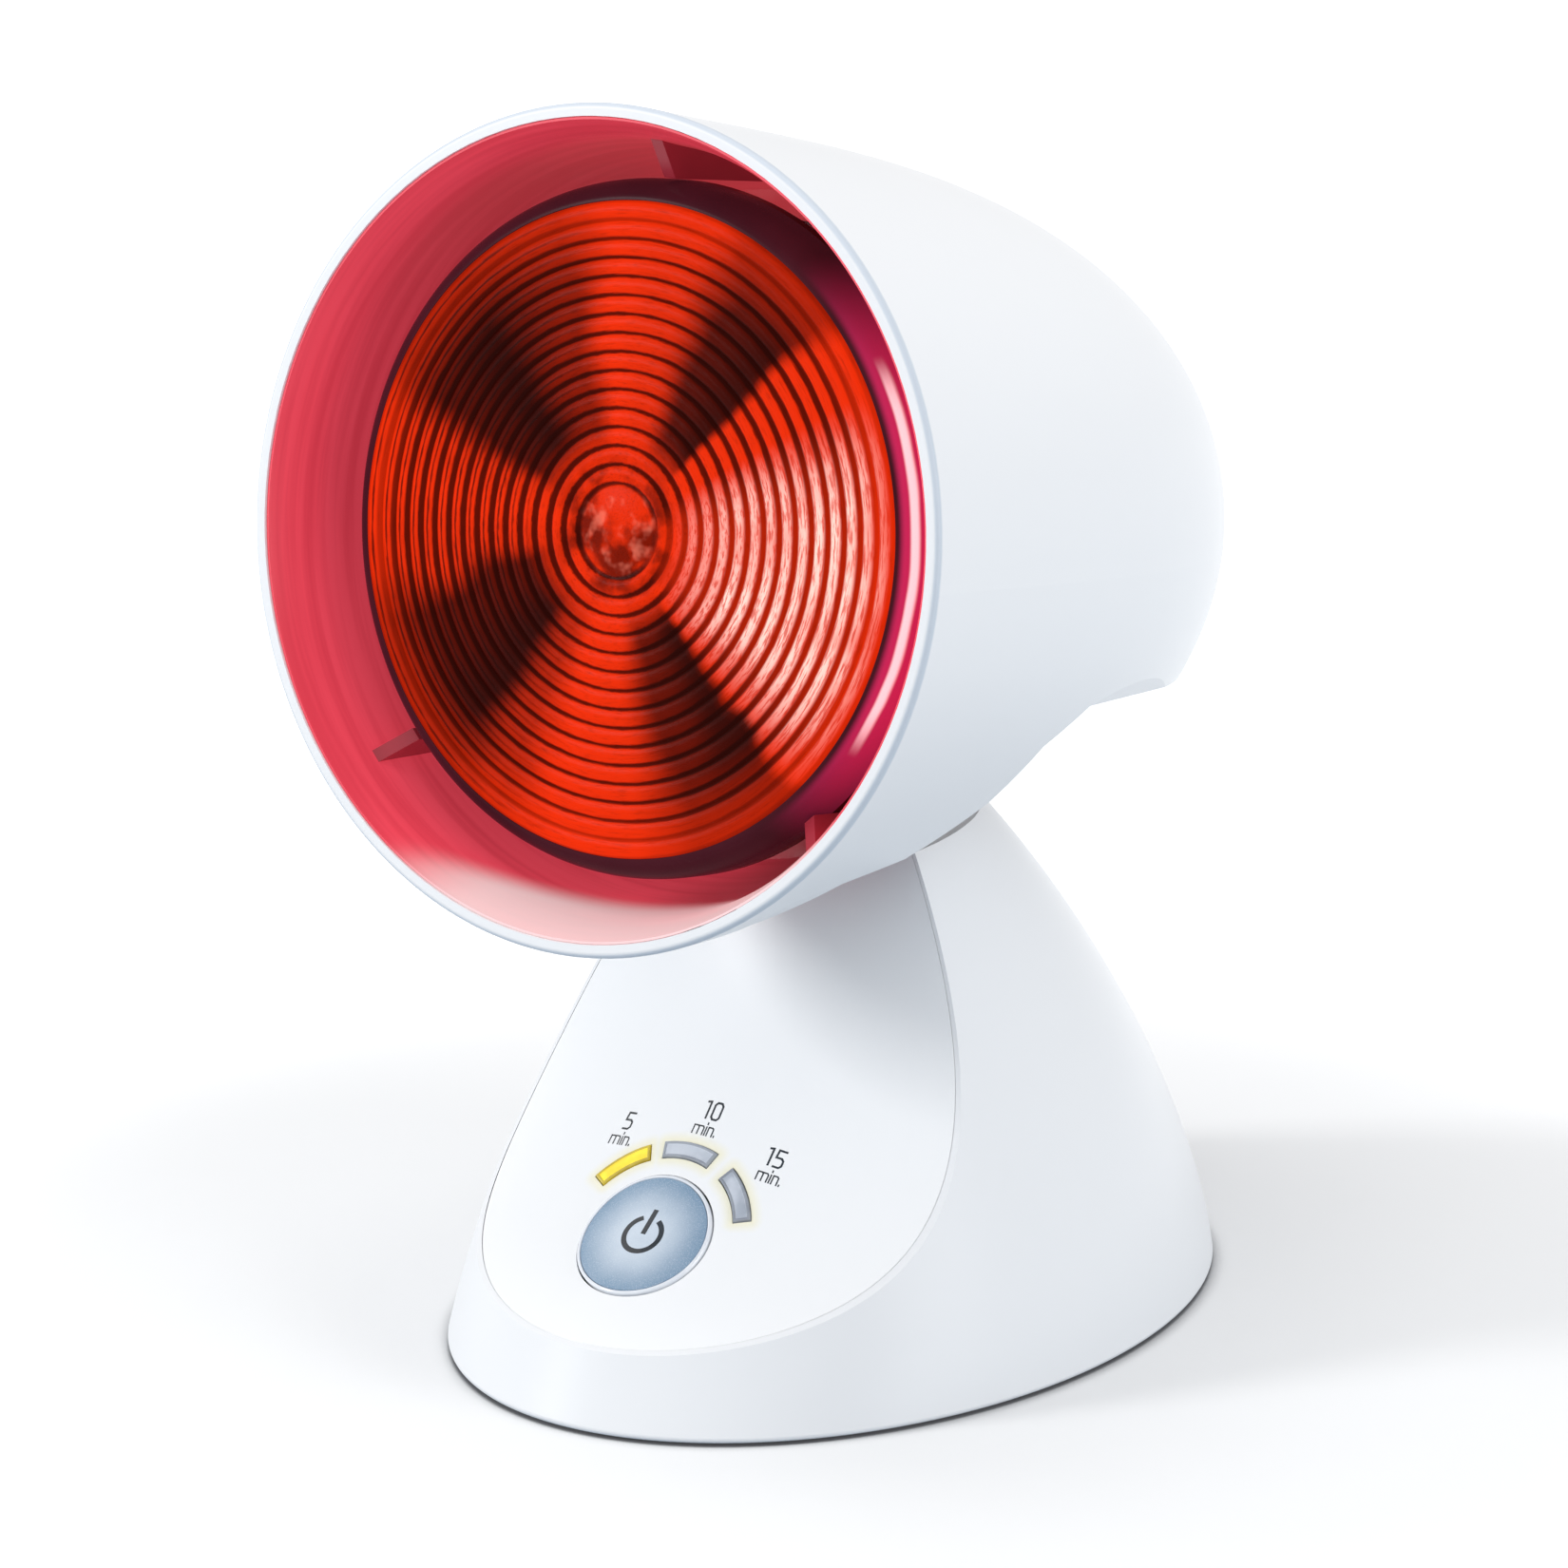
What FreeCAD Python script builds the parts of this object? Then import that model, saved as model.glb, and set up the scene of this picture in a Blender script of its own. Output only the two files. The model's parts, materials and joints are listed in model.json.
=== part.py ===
import FreeCAD, Part
import math
import os

# Infrared heat therapy lamp: a round tilting head on a sculpted foot, with a
# timer button and three light windows in its sloping front face.
# Units are millimetres. +Z is up and the lamp faces -Y. The origin is the
# middle of the lamp, seen from above, on the surface that it stands on.

V = FreeCAD.Vector

# ---------------------------------------------------------------- fits
GAP = 0.15              # seam between two moulded pieces
SLIP = 0.3              # clearance round a piece that moves or drops in
RUNNING = 0.05          # radial running fit of the tilt pivot
PRESS = 0.01            # radial room of a piece pressed into its seat

# ---------------------------------------------------------------- foot body
FOOT_HALF_WIDTH = 61.7  # half axes of the foot's ellipse
FOOT_HALF_DEPTH = 85.3
BODY_APEX = 125.0       # height where the body's sections would shrink to nothing
WIDTH_RISE = 1.48       # how late the width starts to shrink with height
WIDTH_ROUND = 1.10
DEPTH_RISE = 1.0
DEPTH_ROUND = 1.92
LEAN_BACK = 0.09        # the sections drift back, then forward again
LEAN_FORWARD = 0.0022
NECK_TOP = 91.5         # flat top of the neck, hidden under the head
HOUSING_FLOOR = 0.5     # the housing's lower edge, above the table
BODY_WALL = 2.4
NECK_PLATE = 3.0        # thickness of the neck's flat top
FOOT_EDGE_ROUND = 0.8
BODY_LEVELS = (0.0, 0.12, 0.28, 0.48, 0.68, 0.86, 1.0)

# sloping front face: y = FACE_LIMIT_Y - FACE_SPAN * exp(-z / FACE_BEND)
FACE_LIMIT_Y = 3.9
FACE_SPAN = 110.9
FACE_BEND = 48.0
FACE_CROWN_FOOT = 0.0109    # how fast the face falls back towards its sides
FACE_CROWN_LOSS = 0.0001    # the face gets flatter with height
FACE_CROWN_LEAST = 0.001
FACE_REACH = 52.0       # half width of the surface that cuts the face
FACE_LEVELS = (-10.0, 4.0, 16.0, 28.0, 42.0, 60.0, 85.0, 125.0)
PANEL_THICK = 2.4
PANEL_LIP = 0.7         # rim of the housing left round the panel

# ---------------------------------------------------------------- controls
BUTTON_Z = 27.7         # height of the button's centre on the face
BUTTON_RADIUS = 12.8
BUTTON_PROUD = 0.5
BUTTON_TRAVEL = 1.0
BUTTON_CAP_DEPTH = 3.6  # below the face, where the flange starts
BUTTON_FLANGE_RADIUS = 14.2
BUTTON_FLANGE_THICK = 1.2
STEM_RADIUS = 2.6
WINDOW_INNER = 16.6
WINDOW_OUTER = 19.8
WINDOW_HALF_ANGLE = 17.0
WINDOW_ANGLES = {"5_min": 133.0, "10_min": 90.5, "15_min": 43.5}
WINDOW_PROUD = 0.3
BOARD_DEPTH = 10.0      # board's front side, below the face
BOARD_THICK = 1.6
BOARD_HALF_WIDTH = 26.0
BOARD_LOW = -16.0
BOARD_HIGH = 32.0
BOARD_POST_X = 23.0
BOARD_POST_U = 8.0
BOARD_POST_RADIUS = 3.0
SWITCH_SIDE = 6.2
SWITCH_HEIGHT = 3.6
PLUNGER_RADIUS = 1.7
SWITCH_FLOOR = 1.0
BOARD_CORNER = 2.0
CUT_REACH = 15.0        # how far the panel's holes are cut, each way from the face
LED_SIZE = (3.4, 2.6, 1.9)
RELAY_SIZE = (14.0, 12.0, 10.0)
RELAY_PLACE = (-8.0, 4.0)

# ---------------------------------------------------------------- underside
PLATE_BOTTOM = 2.2
PLATE_THICK = 2.4
PAD_RADIUS = 6.0
PAD_ROUND = 0.5
PAD_INSET = (33.7, 25.3)        # pads' centres, inside the foot's half width and half depth
POST_RADIUS = 4.0
POST_BORE_DEPTH = 9.0
FRONT_POST_INSET = (15.7, 63.3)
BACK_POST_INSET = (25.7, 35.3)
POST_REACH = 55.0
M3_RADIUS = 1.5
M3_HEAD_RADIUS = 2.8
M3_HEAD_HEIGHT = 1.8
BASE_SCREW_HEAD = 0.9   # height of the flatter heads under the foot
BASE_SCREW_SUNK = 1.0
BASE_SCREW_BITE = 6.0   # length of screw beyond the piece that it holds
BOARD_SCREW_BITE = 4.0
POST_SCREW_BITE = 1.8
BRACKET_SCREW_BITE = 5.0
BRACKET_SCREW_HEAD = 2.6
HOLDER_SCREW_BITE = 6.0
HOLDER_BORE_DEPTH = 10.0
GLAND_Z = 14.0
GLAND_SEAT_INSET = 4.9  # flat that the gland's collar rests on, inside the foot's back
GLAND_PAD_DEPTH = 6.4
GLAND_BORE = 3.6
GLAND_BODY_RADIUS = 5.4
GLAND_COLLAR_RADIUS = 7.4
GLAND_COLLAR_THICK = 2.0
GLAND_NOSE_ROOT = 6.4   # radii of the tapered nose behind the collar
GLAND_NOSE_TIP = 5.0
GLAND_NOSE_LENGTH = 3.9
TERMINAL_SIZE = (24.0, 14.0, 13.0)
TERMINAL_SETBACK = 28.4 # from the gland's seat to the block's middle
TERMINAL_WELL_RADIUS = 2.4
TERMINAL_BORE_RADIUS = 2.0
TERMINAL_BORE_HEIGHT = 5.0
TERMINAL_CUT = 4.0      # depth of the block's wells and bores

# ---------------------------------------------------------------- tilt pivot
PIVOT_Y = 5.0
PIVOT_Z = 103.0
KNUCKLE_RADIUS = 11.0
KNUCKLE_HALF_WIDTH = 12.0
KNUCKLE_END_WALL = 3.5
CHAMBER_RADIUS = 7.8
STUB_HALF_DEPTH = 9.0
POST_FLANGE_MARGIN = 5.0
POST_FLANGE_THICK = 3.0
POST_SCREW_SKIN = 0.8   # plastic left over the screws in the neck's top
PIN_RADIUS = 4.0
PIN_GROOVE = 0.6        # depth of the groove that the clip sits in
TUBE_BORE = 2.2
WASHER_RADIUS = 8.0
WASHER_THICK = 0.8
EAR_THICK = 2.5
EAR_RADIUS = 9.5
CLIP_RADIUS = 6.4
CLIP_THICK = 0.9
SIDE_PLAY = 0.1         # between the washer, the ear and the clip
HEAD_TILT = 10.0        # degrees that the head looks up at rest

# ---------------------------------------------------------------- head
# In the head's own frame x is to the side, y is the depth behind the rim and
# z is the height above the head's axis.
PIVOT_DEPTH = 87.5
KNUCKLE_ROOM = 2.9431   # between the knuckle and the bulb's bowl
HOOD_RADIUS = 72.5      # outer radius at the rim
HOOD_TAPER = 0.091
HOOD_SHOULDER = 27.0    # depth where the hood starts to round
HOOD_DEPTH = 162.0      # depth where the rounded back would close
HOOD_ROUND_P = 3.1
HOOD_ROUND_Q = 2.19
HOOD_BACK = 152.0       # flat end that the vent cap sits on
HOOD_WALL = 2.4
HOOD_STEPS = 10
RIM_ROUND = 1.0
BACK_HOLE_RADIUS = 22.0
CAP_SETBACK = 0.8       # the vent cap's edge, inside the hood's
CAP_PLINTH = 1.2
CAP_RISE = 5.0
CAP_WALL = 1.8
VENT_COUNT = 12
VENT_LENGTH = 9.5
VENT_WIDTH = 2.2
VENT_MARGIN = 1.0       # between the slots and the cap's skirt

# seam between the hood and the cowl below it: depth, height
SEAM = ((10.0, -57.0), (37.0, -50.5), (50.0, -40.0), (57.0, -30.0), (68.5, -23.2))
SEAM_END_DEPTH = 108.0  # where the hood's lower edge meets its rounded back
FACET_TILT = 34.0       # lean of the flat along the hood's lower edge
FACET_REACH = 15.0      # how far the flat's cutter runs past its ends
# depth, and share of the way from the cowl's back radius to the hood's radius
COWL_SHAPE = ((7.0, 0.97416), (35.0, 0.8809), (50.0, 0.79775), (68.0, 0.69213), (90.0, 0.51685),
              (107.0, 0.37753), (128.0, 0.20674), (154.0, 0.0))
COWL_BACK_RADIUS = 28.0
COWL_SHELF = 2.2
SLOT_SIDE_WALL = 1.5    # between the slot and the bracket blocks
SLOT_CORNER = 6.0
SLOT_AHEAD = 33.5       # the slot's ends, ahead of the pivot and behind it
SLOT_BEHIND = 40.5
BRACKET_BLOCK_WIDTH = 5.645     # of the blocks that carry the tilt brackets, inside the cowl's wall
BRACKET_BLOCK_FOOT = 8.0
BRACKET_HALF_LENGTH = 9.5
BRACKET_PLATE = 2.0
BRACKET_SCREW_INSET = 2.945     # from the cowl's wall
BRACKET_BORE_DEPTH = 6.0

# shade liner's outer surface: depth, room inside the hood's tapered outside
LINER_ROOM = ((0.4, 2.5636), (8.0, 3.472), (20.0, 3.98), (35.0, 5.215), (50.0, 7.65))
LINER_WALL = 1.3
LINER_LIP = 0.5
LINER_BACK_TURN = 6.3   # how far the liner's back edge is turned in
FIN_BACK = 46.0
FIN_THICK = 2.4
FIN_OUTER_FRONT = 8.0   # depth of the fin's front edge at the liner
FIN_INNER_FRONT = 14.5  # and beside the bulb's flange
FIN_ANGLES = (90.0, 224.5, 314.5)

# ---------------------------------------------------------------- bulb
BULB_ROOM = 12.5        # from the bulb's flange to the hood's radius at the rim
FLANGE_CHAMFER = 1.0
FLANGE_FRONT = 18.0
FLANGE_JOINT = 20.6
FLANGE_BACK = 24.0
LENS_FRONT = 9.6        # depth of the lens's middle
LENS_SHOULDER = 3.9     # the ribbed front's edge, inside the flange's
LENS_BALL = 900.0       # radius of the lens's shallow dome
LENS_WALL = 3.0
LENS_RIBS = 14
LENS_RIB_HEIGHT = 0.55
LENS_HUB_RADIUS = 11.3
BOWL_NECK_RADIUS = 17.6
# depth, and share of the way from the neck's radius to the flange's
BOWL_SHAPE = ((24.0, 0.9764), (38.0, 0.8915), (54.0, 0.7264), (68.0, 0.5142), (80.0, 0.2783),
              (90.0, 0.0802), (99.0, 0.0))
BOWL_WALL = 2.6
SKIRT_BACK = 106.0
SKIRT_RADIUS = 18.8
CAP_RADIUS = 13.2
CAP_FRONT = 107.0
CAP_BACK = 129.0
CAP_THREAD_PITCH = 3.6
CAP_TURNS = 5
CAP_THREAD_DEPTH = 0.9
TIP_LENGTH = 7.0

# ---------------------------------------------------------------- lampholder
HOLDER_FRONT = 107.5
HOLDER_BACK = 146.0
HOLDER_RADIUS = 20.0
HOLDER_FLOOR = 138.0
SLEEVE_WALL = 0.7
CONTACT_RADIUS = 3.0
CONTACT_FLOOR = 0.8
HOLDER_PLATE_DEPTH = 120.0
HOLDER_PLATE_THICK = 1.5
HOLDER_PLATE_RADIUS = 30.0
HOLDER_FLANGE_RADIUS = 25.0
HOLDER_FLANGE_THICK = 3.0
HOLDER_RING_RADIUS = 24.0
HOLDER_RING_THICK = 3.0
HOLDER_CHAMFER = 2.0
PLATE_VENT_RADIUS = 1.6
PLATE_VENT_CIRCLE = 27.2
PLATE_VENT_COUNT = 8
ARM_CORNER = 4.0
ARM_INSET = 10.8111      # the arms' screws, inside the hood's radius at the plate
ARM_WIDTH = 11.0
ARM_ANGLES = (90.0, 0.0, 180.0)
BOSS_RADIUS = 4.2

# ---------------------------------------------------------------- leads
LEAD_RADIUS = 1.2
LEAD_SPLIT_X = -12.0    # the lead turns on the tilt axis here
LEAD_ARC_SHARE = 0.45
LEAD_END_GAP = 0.2      # between a lead's end and its terminal

# ---------------------------------------------------------------- sizes that follow
def corner_places(inset, ends):
    """Places on both sides, drawn in from the foot's half axes, at its front (-1) or back (1)."""
    x = FOOT_HALF_WIDTH - inset[0]
    y = FOOT_HALF_DEPTH - inset[1]
    return [(side * x, end * y) for end in ends for side in (1, -1)]


def at_depth(outline, depth):
    """Radius of an outline of (depth, radius) points, in straight runs between them."""
    for (near, near_radius), (far, far_radius) in zip(outline, outline[1:]):
        if near <= depth <= far:
            return near_radius + (far_radius - near_radius) * (depth - near) / (far - near)
    return outline[-1][1]


def hood_radius(s):
    """Outer radius of the hood at a depth behind its rim."""
    q = max(0.0, (s - HOOD_SHOULDER) / (HOOD_DEPTH - HOOD_SHOULDER))
    return (HOOD_RADIUS - HOOD_TAPER * s) * (1 - q ** HOOD_ROUND_P) ** (1 / HOOD_ROUND_Q)


def knuckle_drop(steps=400):
    """Drop of the pivot below the head's axis that keeps the knuckle clear of the bulb's bowl."""
    reach = KNUCKLE_RADIUS + KNUCKLE_ROOM
    drops = []
    for i in range(steps + 1):
        ahead = reach * (2 * i / steps - 1)
        drops.append(at_depth(BOWL, PIVOT_DEPTH - ahead) + math.sqrt(reach ** 2 - ahead ** 2))
    return max(drops)


PAD_PLACES = corner_places(PAD_INSET, (-1, 1))
POST_PLACES = corner_places(FRONT_POST_INSET, (-1,)) + corner_places(BACK_POST_INSET, (1,))
GLAND_SEAT_Y = FOOT_HALF_DEPTH - GLAND_SEAT_INSET
TERMINAL_Y = GLAND_SEAT_Y - TERMINAL_SETBACK
FLANGE_RADIUS = HOOD_RADIUS - BULB_ROOM
LENS_RADIUS = FLANGE_RADIUS - LENS_SHOULDER
BOWL = [(s, BOWL_NECK_RADIUS + share * (FLANGE_RADIUS - BOWL_NECK_RADIUS)) for s, share in BOWL_SHAPE]
LINER = [(s, HOOD_RADIUS - HOOD_TAPER * s - room) for s, room in LINER_ROOM]
COWL = [(s, COWL_BACK_RADIUS + share * (HOOD_RADIUS - COWL_BACK_RADIUS)) for s, share in COWL_SHAPE]
ARM_RADIUS = hood_radius(HOLDER_PLATE_DEPTH) - ARM_INSET
PIVOT_DROP = knuckle_drop()
BRACKET_SEAT = -PIVOT_DROP + EAR_RADIUS - BRACKET_PLATE  # height of the tilt brackets' seats
COWL_WALL_X = math.sqrt((at_depth(COWL, PIVOT_DEPTH) - HOOD_WALL) ** 2 - BRACKET_SEAT ** 2)
BRACKET_BLOCK_X = COWL_WALL_X - BRACKET_BLOCK_WIDTH
BRACKET_SCREW_X = COWL_WALL_X - BRACKET_SCREW_INSET
SLOT_HALF_WIDTH = BRACKET_BLOCK_X - SLOT_SIDE_WALL
HEAD_TURN = FreeCAD.Rotation(V(1, 0, 0), -HEAD_TILT)
PIVOT = V(0, PIVOT_Y, PIVOT_Z)
RIM_CENTRE = PIVOT - HEAD_TURN.multVec(V(0, PIVOT_DEPTH, -PIVOT_DROP))


# ================================================================ helpers
def save(shape, name):
    """Write one closed solid to its own STEP file."""
    solids = shape.Solids
    if len(solids) != 1 or not shape.isValid():
        print("CHECK", name, "solids", len(solids), "valid", shape.isValid())
    shape.exportStep("parts/" + name + ".step")


def polygon(points):
    """Closed flat face through the points."""
    return Part.Face(Part.makePolygon(list(points) + [points[0]]))


def spline(points):
    """Smooth edge through the points."""
    curve = Part.BSplineCurve()
    curve.interpolate([V(*p) for p in points])
    return curve.toShape()


def to_head(shape):
    """Put a piece made in the head's own frame in its place on the lamp."""
    placed = shape.copy()
    placed.Placement = FreeCAD.Placement(RIM_CENTRE, HEAD_TURN).multiply(placed.Placement)
    return placed


def spun(edges):
    """Solid of revolution about the head's axis; edges lie in the plane z = 0."""
    wire = Part.Wire(Part.__sortEdges__(edges))
    return Part.Face(wire).revolve(V(0, 0, 0), V(0, 1, 0), 360)


def spun_polygon(points):
    """Solid of revolution from (radius, depth) corners."""
    return polygon([V(r, s, 0) for r, s in points]).revolve(V(0, 0, 0), V(0, 1, 0), 360)


def spun_core(outline):
    """Solid core bounded by a smooth outline of (radius, depth) points."""
    first = outline[0]
    last = outline[-1]
    edges = [spline([(r, s, 0) for r, s in outline])]
    edges.append(Part.makeLine(V(last[0], last[1], 0), V(0, last[1], 0)))
    edges.append(Part.makeLine(V(0, last[1], 0), V(0, first[1], 0)))
    edges.append(Part.makeLine(V(0, first[1], 0), V(first[0], first[1], 0)))
    return spun(edges)


def pan_screw(length, head_radius=M3_HEAD_RADIUS, head_height=M3_HEAD_HEIGHT):
    """Pan head screw: the head stands on z = 0 and the shank points down."""
    head = Part.makeCylinder(head_radius, head_height)
    head = head.makeFillet(head_height * 0.4, [e for e in head.Edges if e.BoundBox.ZMin > head_height * 0.9])
    shank = Part.makeCylinder(M3_RADIUS, length, V(0, 0, -length))
    slot = Part.makeBox(head_radius * 1.1, 0.7, head_height, V(-head_radius * 0.55, -0.35, head_height * 0.45))
    cross = slot.fuse(slot.rotated(V(0, 0, 0), V(0, 0, 1), 90))
    return head.fuse(shank).cut(cross).removeSplitter()


def tube_path(points, label):
    """Wire of straight runs joined by the largest tangent arcs that fit."""
    points = [V(*p) for p in points]
    edges = []
    start = points[0]
    radii = []
    for before, corner, after in zip(points, points[1:], points[2:]):
        into = (corner - before).normalize()
        out = (after - corner).normalize()
        turn = into.getAngle(out)
        run = min(corner.distanceToPoint(before), corner.distanceToPoint(after))
        back = run * LEAD_ARC_SHARE
        radii.append(back / math.tan(turn / 2))
        arc_start = corner - into * back
        arc_end = corner + out * back
        bisector = (out - into).normalize()
        reach = math.hypot(back, radii[-1]) - radii[-1]
        edges.append(Part.makeLine(start, arc_start))
        edges.append(Part.Arc(arc_start, corner + bisector * reach, arc_end).toShape())
        start = arc_end
    edges.append(Part.makeLine(start, points[-1]))
    print(label, "arc radii", [round(r, 1) for r in radii])
    return Part.Wire(edges)


def lead(points, label, radius=LEAD_RADIUS):
    """Round lead along a route."""
    path = tube_path(points, label)
    along = V(*points[1]) - V(*points[0])
    ring = Part.Wire(Part.makeCircle(radius, V(*points[0]), along))
    tube = path.makePipeShell([ring], True, False)
    print(label, "volume ratio", round(tube.Volume / (math.pi * radius ** 2 * path.Length), 4))
    return tube


# ================================================================ foot body
def body_section(z, inset):
    """Ellipse of the body at one height, drawn in by the inset."""
    share = min(max(z, 0.0), BODY_APEX - 1.0) / BODY_APEX
    half_width = FOOT_HALF_WIDTH * (1 - share ** WIDTH_RISE) ** (1 / WIDTH_ROUND) - inset
    half_depth = FOOT_HALF_DEPTH * (1 - share ** DEPTH_RISE) ** (1 / DEPTH_ROUND) - inset
    centre = V(0, LEAN_BACK * z - LEAN_FORWARD * z * z, z)
    ellipse = Part.Ellipse(centre + V(0, half_depth, 0), centre + V(half_width, 0, 0), centre)
    return Part.Wire(ellipse.toShape())


def body_core(inset, low, high):
    """Solid core of the body between two heights."""
    levels = [low + (high - low) * share for share in BODY_LEVELS]
    return Part.makeLoft([body_section(z, inset) for z in levels], True, False)


def face_y(z):
    """Depth of the front face on the lamp's middle plane."""
    return FACE_LIMIT_Y - FACE_SPAN * math.exp(-z / FACE_BEND)


def face_slope(z):
    """How far the face goes back for each millimetre up."""
    return FACE_SPAN / FACE_BEND * math.exp(-z / FACE_BEND)


def face_fall(z):
    """How far back the face lies at the sides of its cutting surface."""
    crown = max(FACE_CROWN_LEAST, FACE_CROWN_FOOT - FACE_CROWN_LOSS * z)
    return crown * FACE_REACH ** 2


def in_front_of_face(depth):
    """Solid in front of a copy of the face that lies deeper by depth."""
    wires = []
    front = -FACE_SPAN * 1.6
    for z in FACE_LEVELS:
        fall = face_fall(z)
        slope = face_slope(z)
        size = math.hypot(1, slope)
        y = face_y(z) + depth / size
        height = z - depth * slope / size
        left = V(-FACE_REACH, y + fall, height)
        right = V(FACE_REACH, y + fall, height)
        arc = Part.Arc(left, V(0, y, height), right).toShape()
        sides = Part.makePolygon([right, V(FACE_REACH, front, height), V(-FACE_REACH, front, height), left])
        wires.append(Part.Wire([arc] + sides.Edges))
    return Part.makeLoft(wires, True, False)


FACE_LEAN = math.degrees(math.atan2(1.0, face_slope(BUTTON_Z)))
FACE_FRAME = FreeCAD.Placement(V(0, face_y(BUTTON_Z), BUTTON_Z), FreeCAD.Rotation(V(1, 0, 0), FACE_LEAN))


def to_face(shape):
    """Place a piece made with x across the face, y up the face and z out of it."""
    placed = shape.copy()
    placed.Placement = FACE_FRAME.multiply(placed.Placement)
    return placed


def arc_block(inner, outer, half_angle, middle_angle, low, high):
    """Ring segment between two heights in the face's frame."""
    a = math.radians(middle_angle - half_angle)
    b = math.radians(middle_angle)
    c = math.radians(middle_angle + half_angle)

    def at(radius, angle):
        return V(radius * math.cos(angle), radius * math.sin(angle), low)

    edges = [Part.Arc(at(outer, a), at(outer, b), at(outer, c)).toShape(),
             Part.makeLine(at(outer, c), at(inner, c)),
             Part.Arc(at(inner, c), at(inner, b), at(inner, a)).toShape(),
             Part.makeLine(at(inner, a), at(outer, a))]
    return Part.Face(Part.Wire(edges)).extrude(V(0, 0, high - low))


def window_block(name, grow, low, high):
    """Light window's shape, grown sideways for its hole."""
    mean = (WINDOW_INNER + WINDOW_OUTER) / 2
    half = WINDOW_HALF_ANGLE + math.degrees(grow / mean)
    return arc_block(WINDOW_INNER - grow, WINDOW_OUTER + grow, half, WINDOW_ANGLES[name], low, high)


def post_cylinder(x, y, radius, low, high):
    return Part.makeCylinder(radius, high - low, V(x, y, low))


def housing(face, panel_back):
    """Moulded body of the foot with its neck, hollow and open below."""
    outer = body_core(0.0, HOUSING_FLOOR, NECK_TOP)
    rim = [e for e in outer.Edges if e.BoundBox.ZMax < HOUSING_FLOOR + 0.01]
    outer = outer.makeFillet(FOOT_EDGE_ROUND, rim)
    room = body_core(BODY_WALL, -1.0, NECK_TOP - NECK_PLATE)
    rebate = body_core(PANEL_LIP, HOUSING_FLOOR, NECK_TOP + 0.1).common(panel_back)
    shell = outer.cut(face).cut(room).cut(rebate)
    for x, y in POST_PLACES:
        post = post_cylinder(x, y, POST_RADIUS, PLATE_BOTTOM + PLATE_THICK, POST_REACH)
        shell = shell.fuse(post.common(outer).cut(panel_back))
    seat = Part.makeCylinder(GLAND_COLLAR_RADIUS + BODY_WALL, GLAND_PAD_DEPTH * 2,
                             V(0, GLAND_SEAT_Y - GLAND_PAD_DEPTH, GLAND_Z), V(0, 1, 0))
    plate_zone = post_cylinder(0, 0, FOOT_HALF_DEPTH * 2, -1.0, PLATE_BOTTOM + PLATE_THICK)
    shell = shell.fuse(seat.common(outer).cut(plate_zone))
    for x, y in POST_PLACES:
        shell = shell.cut(post_cylinder(x, y, M3_RADIUS, 0.0, PLATE_BOTTOM + PLATE_THICK + POST_BORE_DEPTH))
    along = V(0, 1, 0)
    seat_at = V(0, GLAND_SEAT_Y, GLAND_Z)
    flat = Part.makeCylinder(GLAND_COLLAR_RADIUS + SLIP, FOOT_HALF_DEPTH, seat_at, along)
    hole_start = GLAND_SEAT_Y - 3 * GLAND_PAD_DEPTH
    hole = Part.makeCylinder(GLAND_BODY_RADIUS + GAP, FOOT_HALF_DEPTH, V(0, hole_start, GLAND_Z), along)
    mouth = Part.makeBox(2 * (KNUCKLE_HALF_WIDTH + GAP), 2 * (STUB_HALF_DEPTH + GAP), NECK_PLATE * 3,
                         V(-KNUCKLE_HALF_WIDTH - GAP, PIVOT_Y - STUB_HALF_DEPTH - GAP, NECK_TOP - NECK_PLATE * 2))
    shell = shell.cut(flat).cut(hole).cut(mouth)
    for x in (-1, 1):
        shell = shell.cut(post_screw_hole(x))
    return shell


def front_panel(face, panel_back):
    """Control panel that fills the sloping face."""
    zone = body_core(PANEL_LIP + GAP, HOUSING_FLOOR, NECK_TOP)
    panel = zone.common(panel_back).cut(face)
    panel = max(panel.Solids, key=lambda solid: solid.Volume)
    below = -BOARD_DEPTH
    for x in (-1, 1):
        post = Part.makeCylinder(BOARD_POST_RADIUS, BOARD_DEPTH, V(x * BOARD_POST_X, BOARD_POST_U, below))
        bore = Part.makeCylinder(M3_RADIUS, BOARD_DEPTH * 0.6, V(x * BOARD_POST_X, BOARD_POST_U, below))
        panel = panel.fuse(to_face(post).cut(face)).cut(to_face(bore))
    cap_hole = Part.makeCylinder(BUTTON_RADIUS + SLIP, 2 * CUT_REACH, V(0, 0, -CUT_REACH))
    recess = Part.makeCylinder(BUTTON_FLANGE_RADIUS + SLIP * 2, CUT_REACH,
                               V(0, 0, -CUT_REACH - BUTTON_CAP_DEPTH + SLIP))
    panel = panel.cut(to_face(cap_hole)).cut(to_face(recess))
    for name in WINDOW_ANGLES:
        panel = panel.cut(to_face(window_block(name, GAP, -CUT_REACH, CUT_REACH)))
    return panel.removeSplitter()


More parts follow.
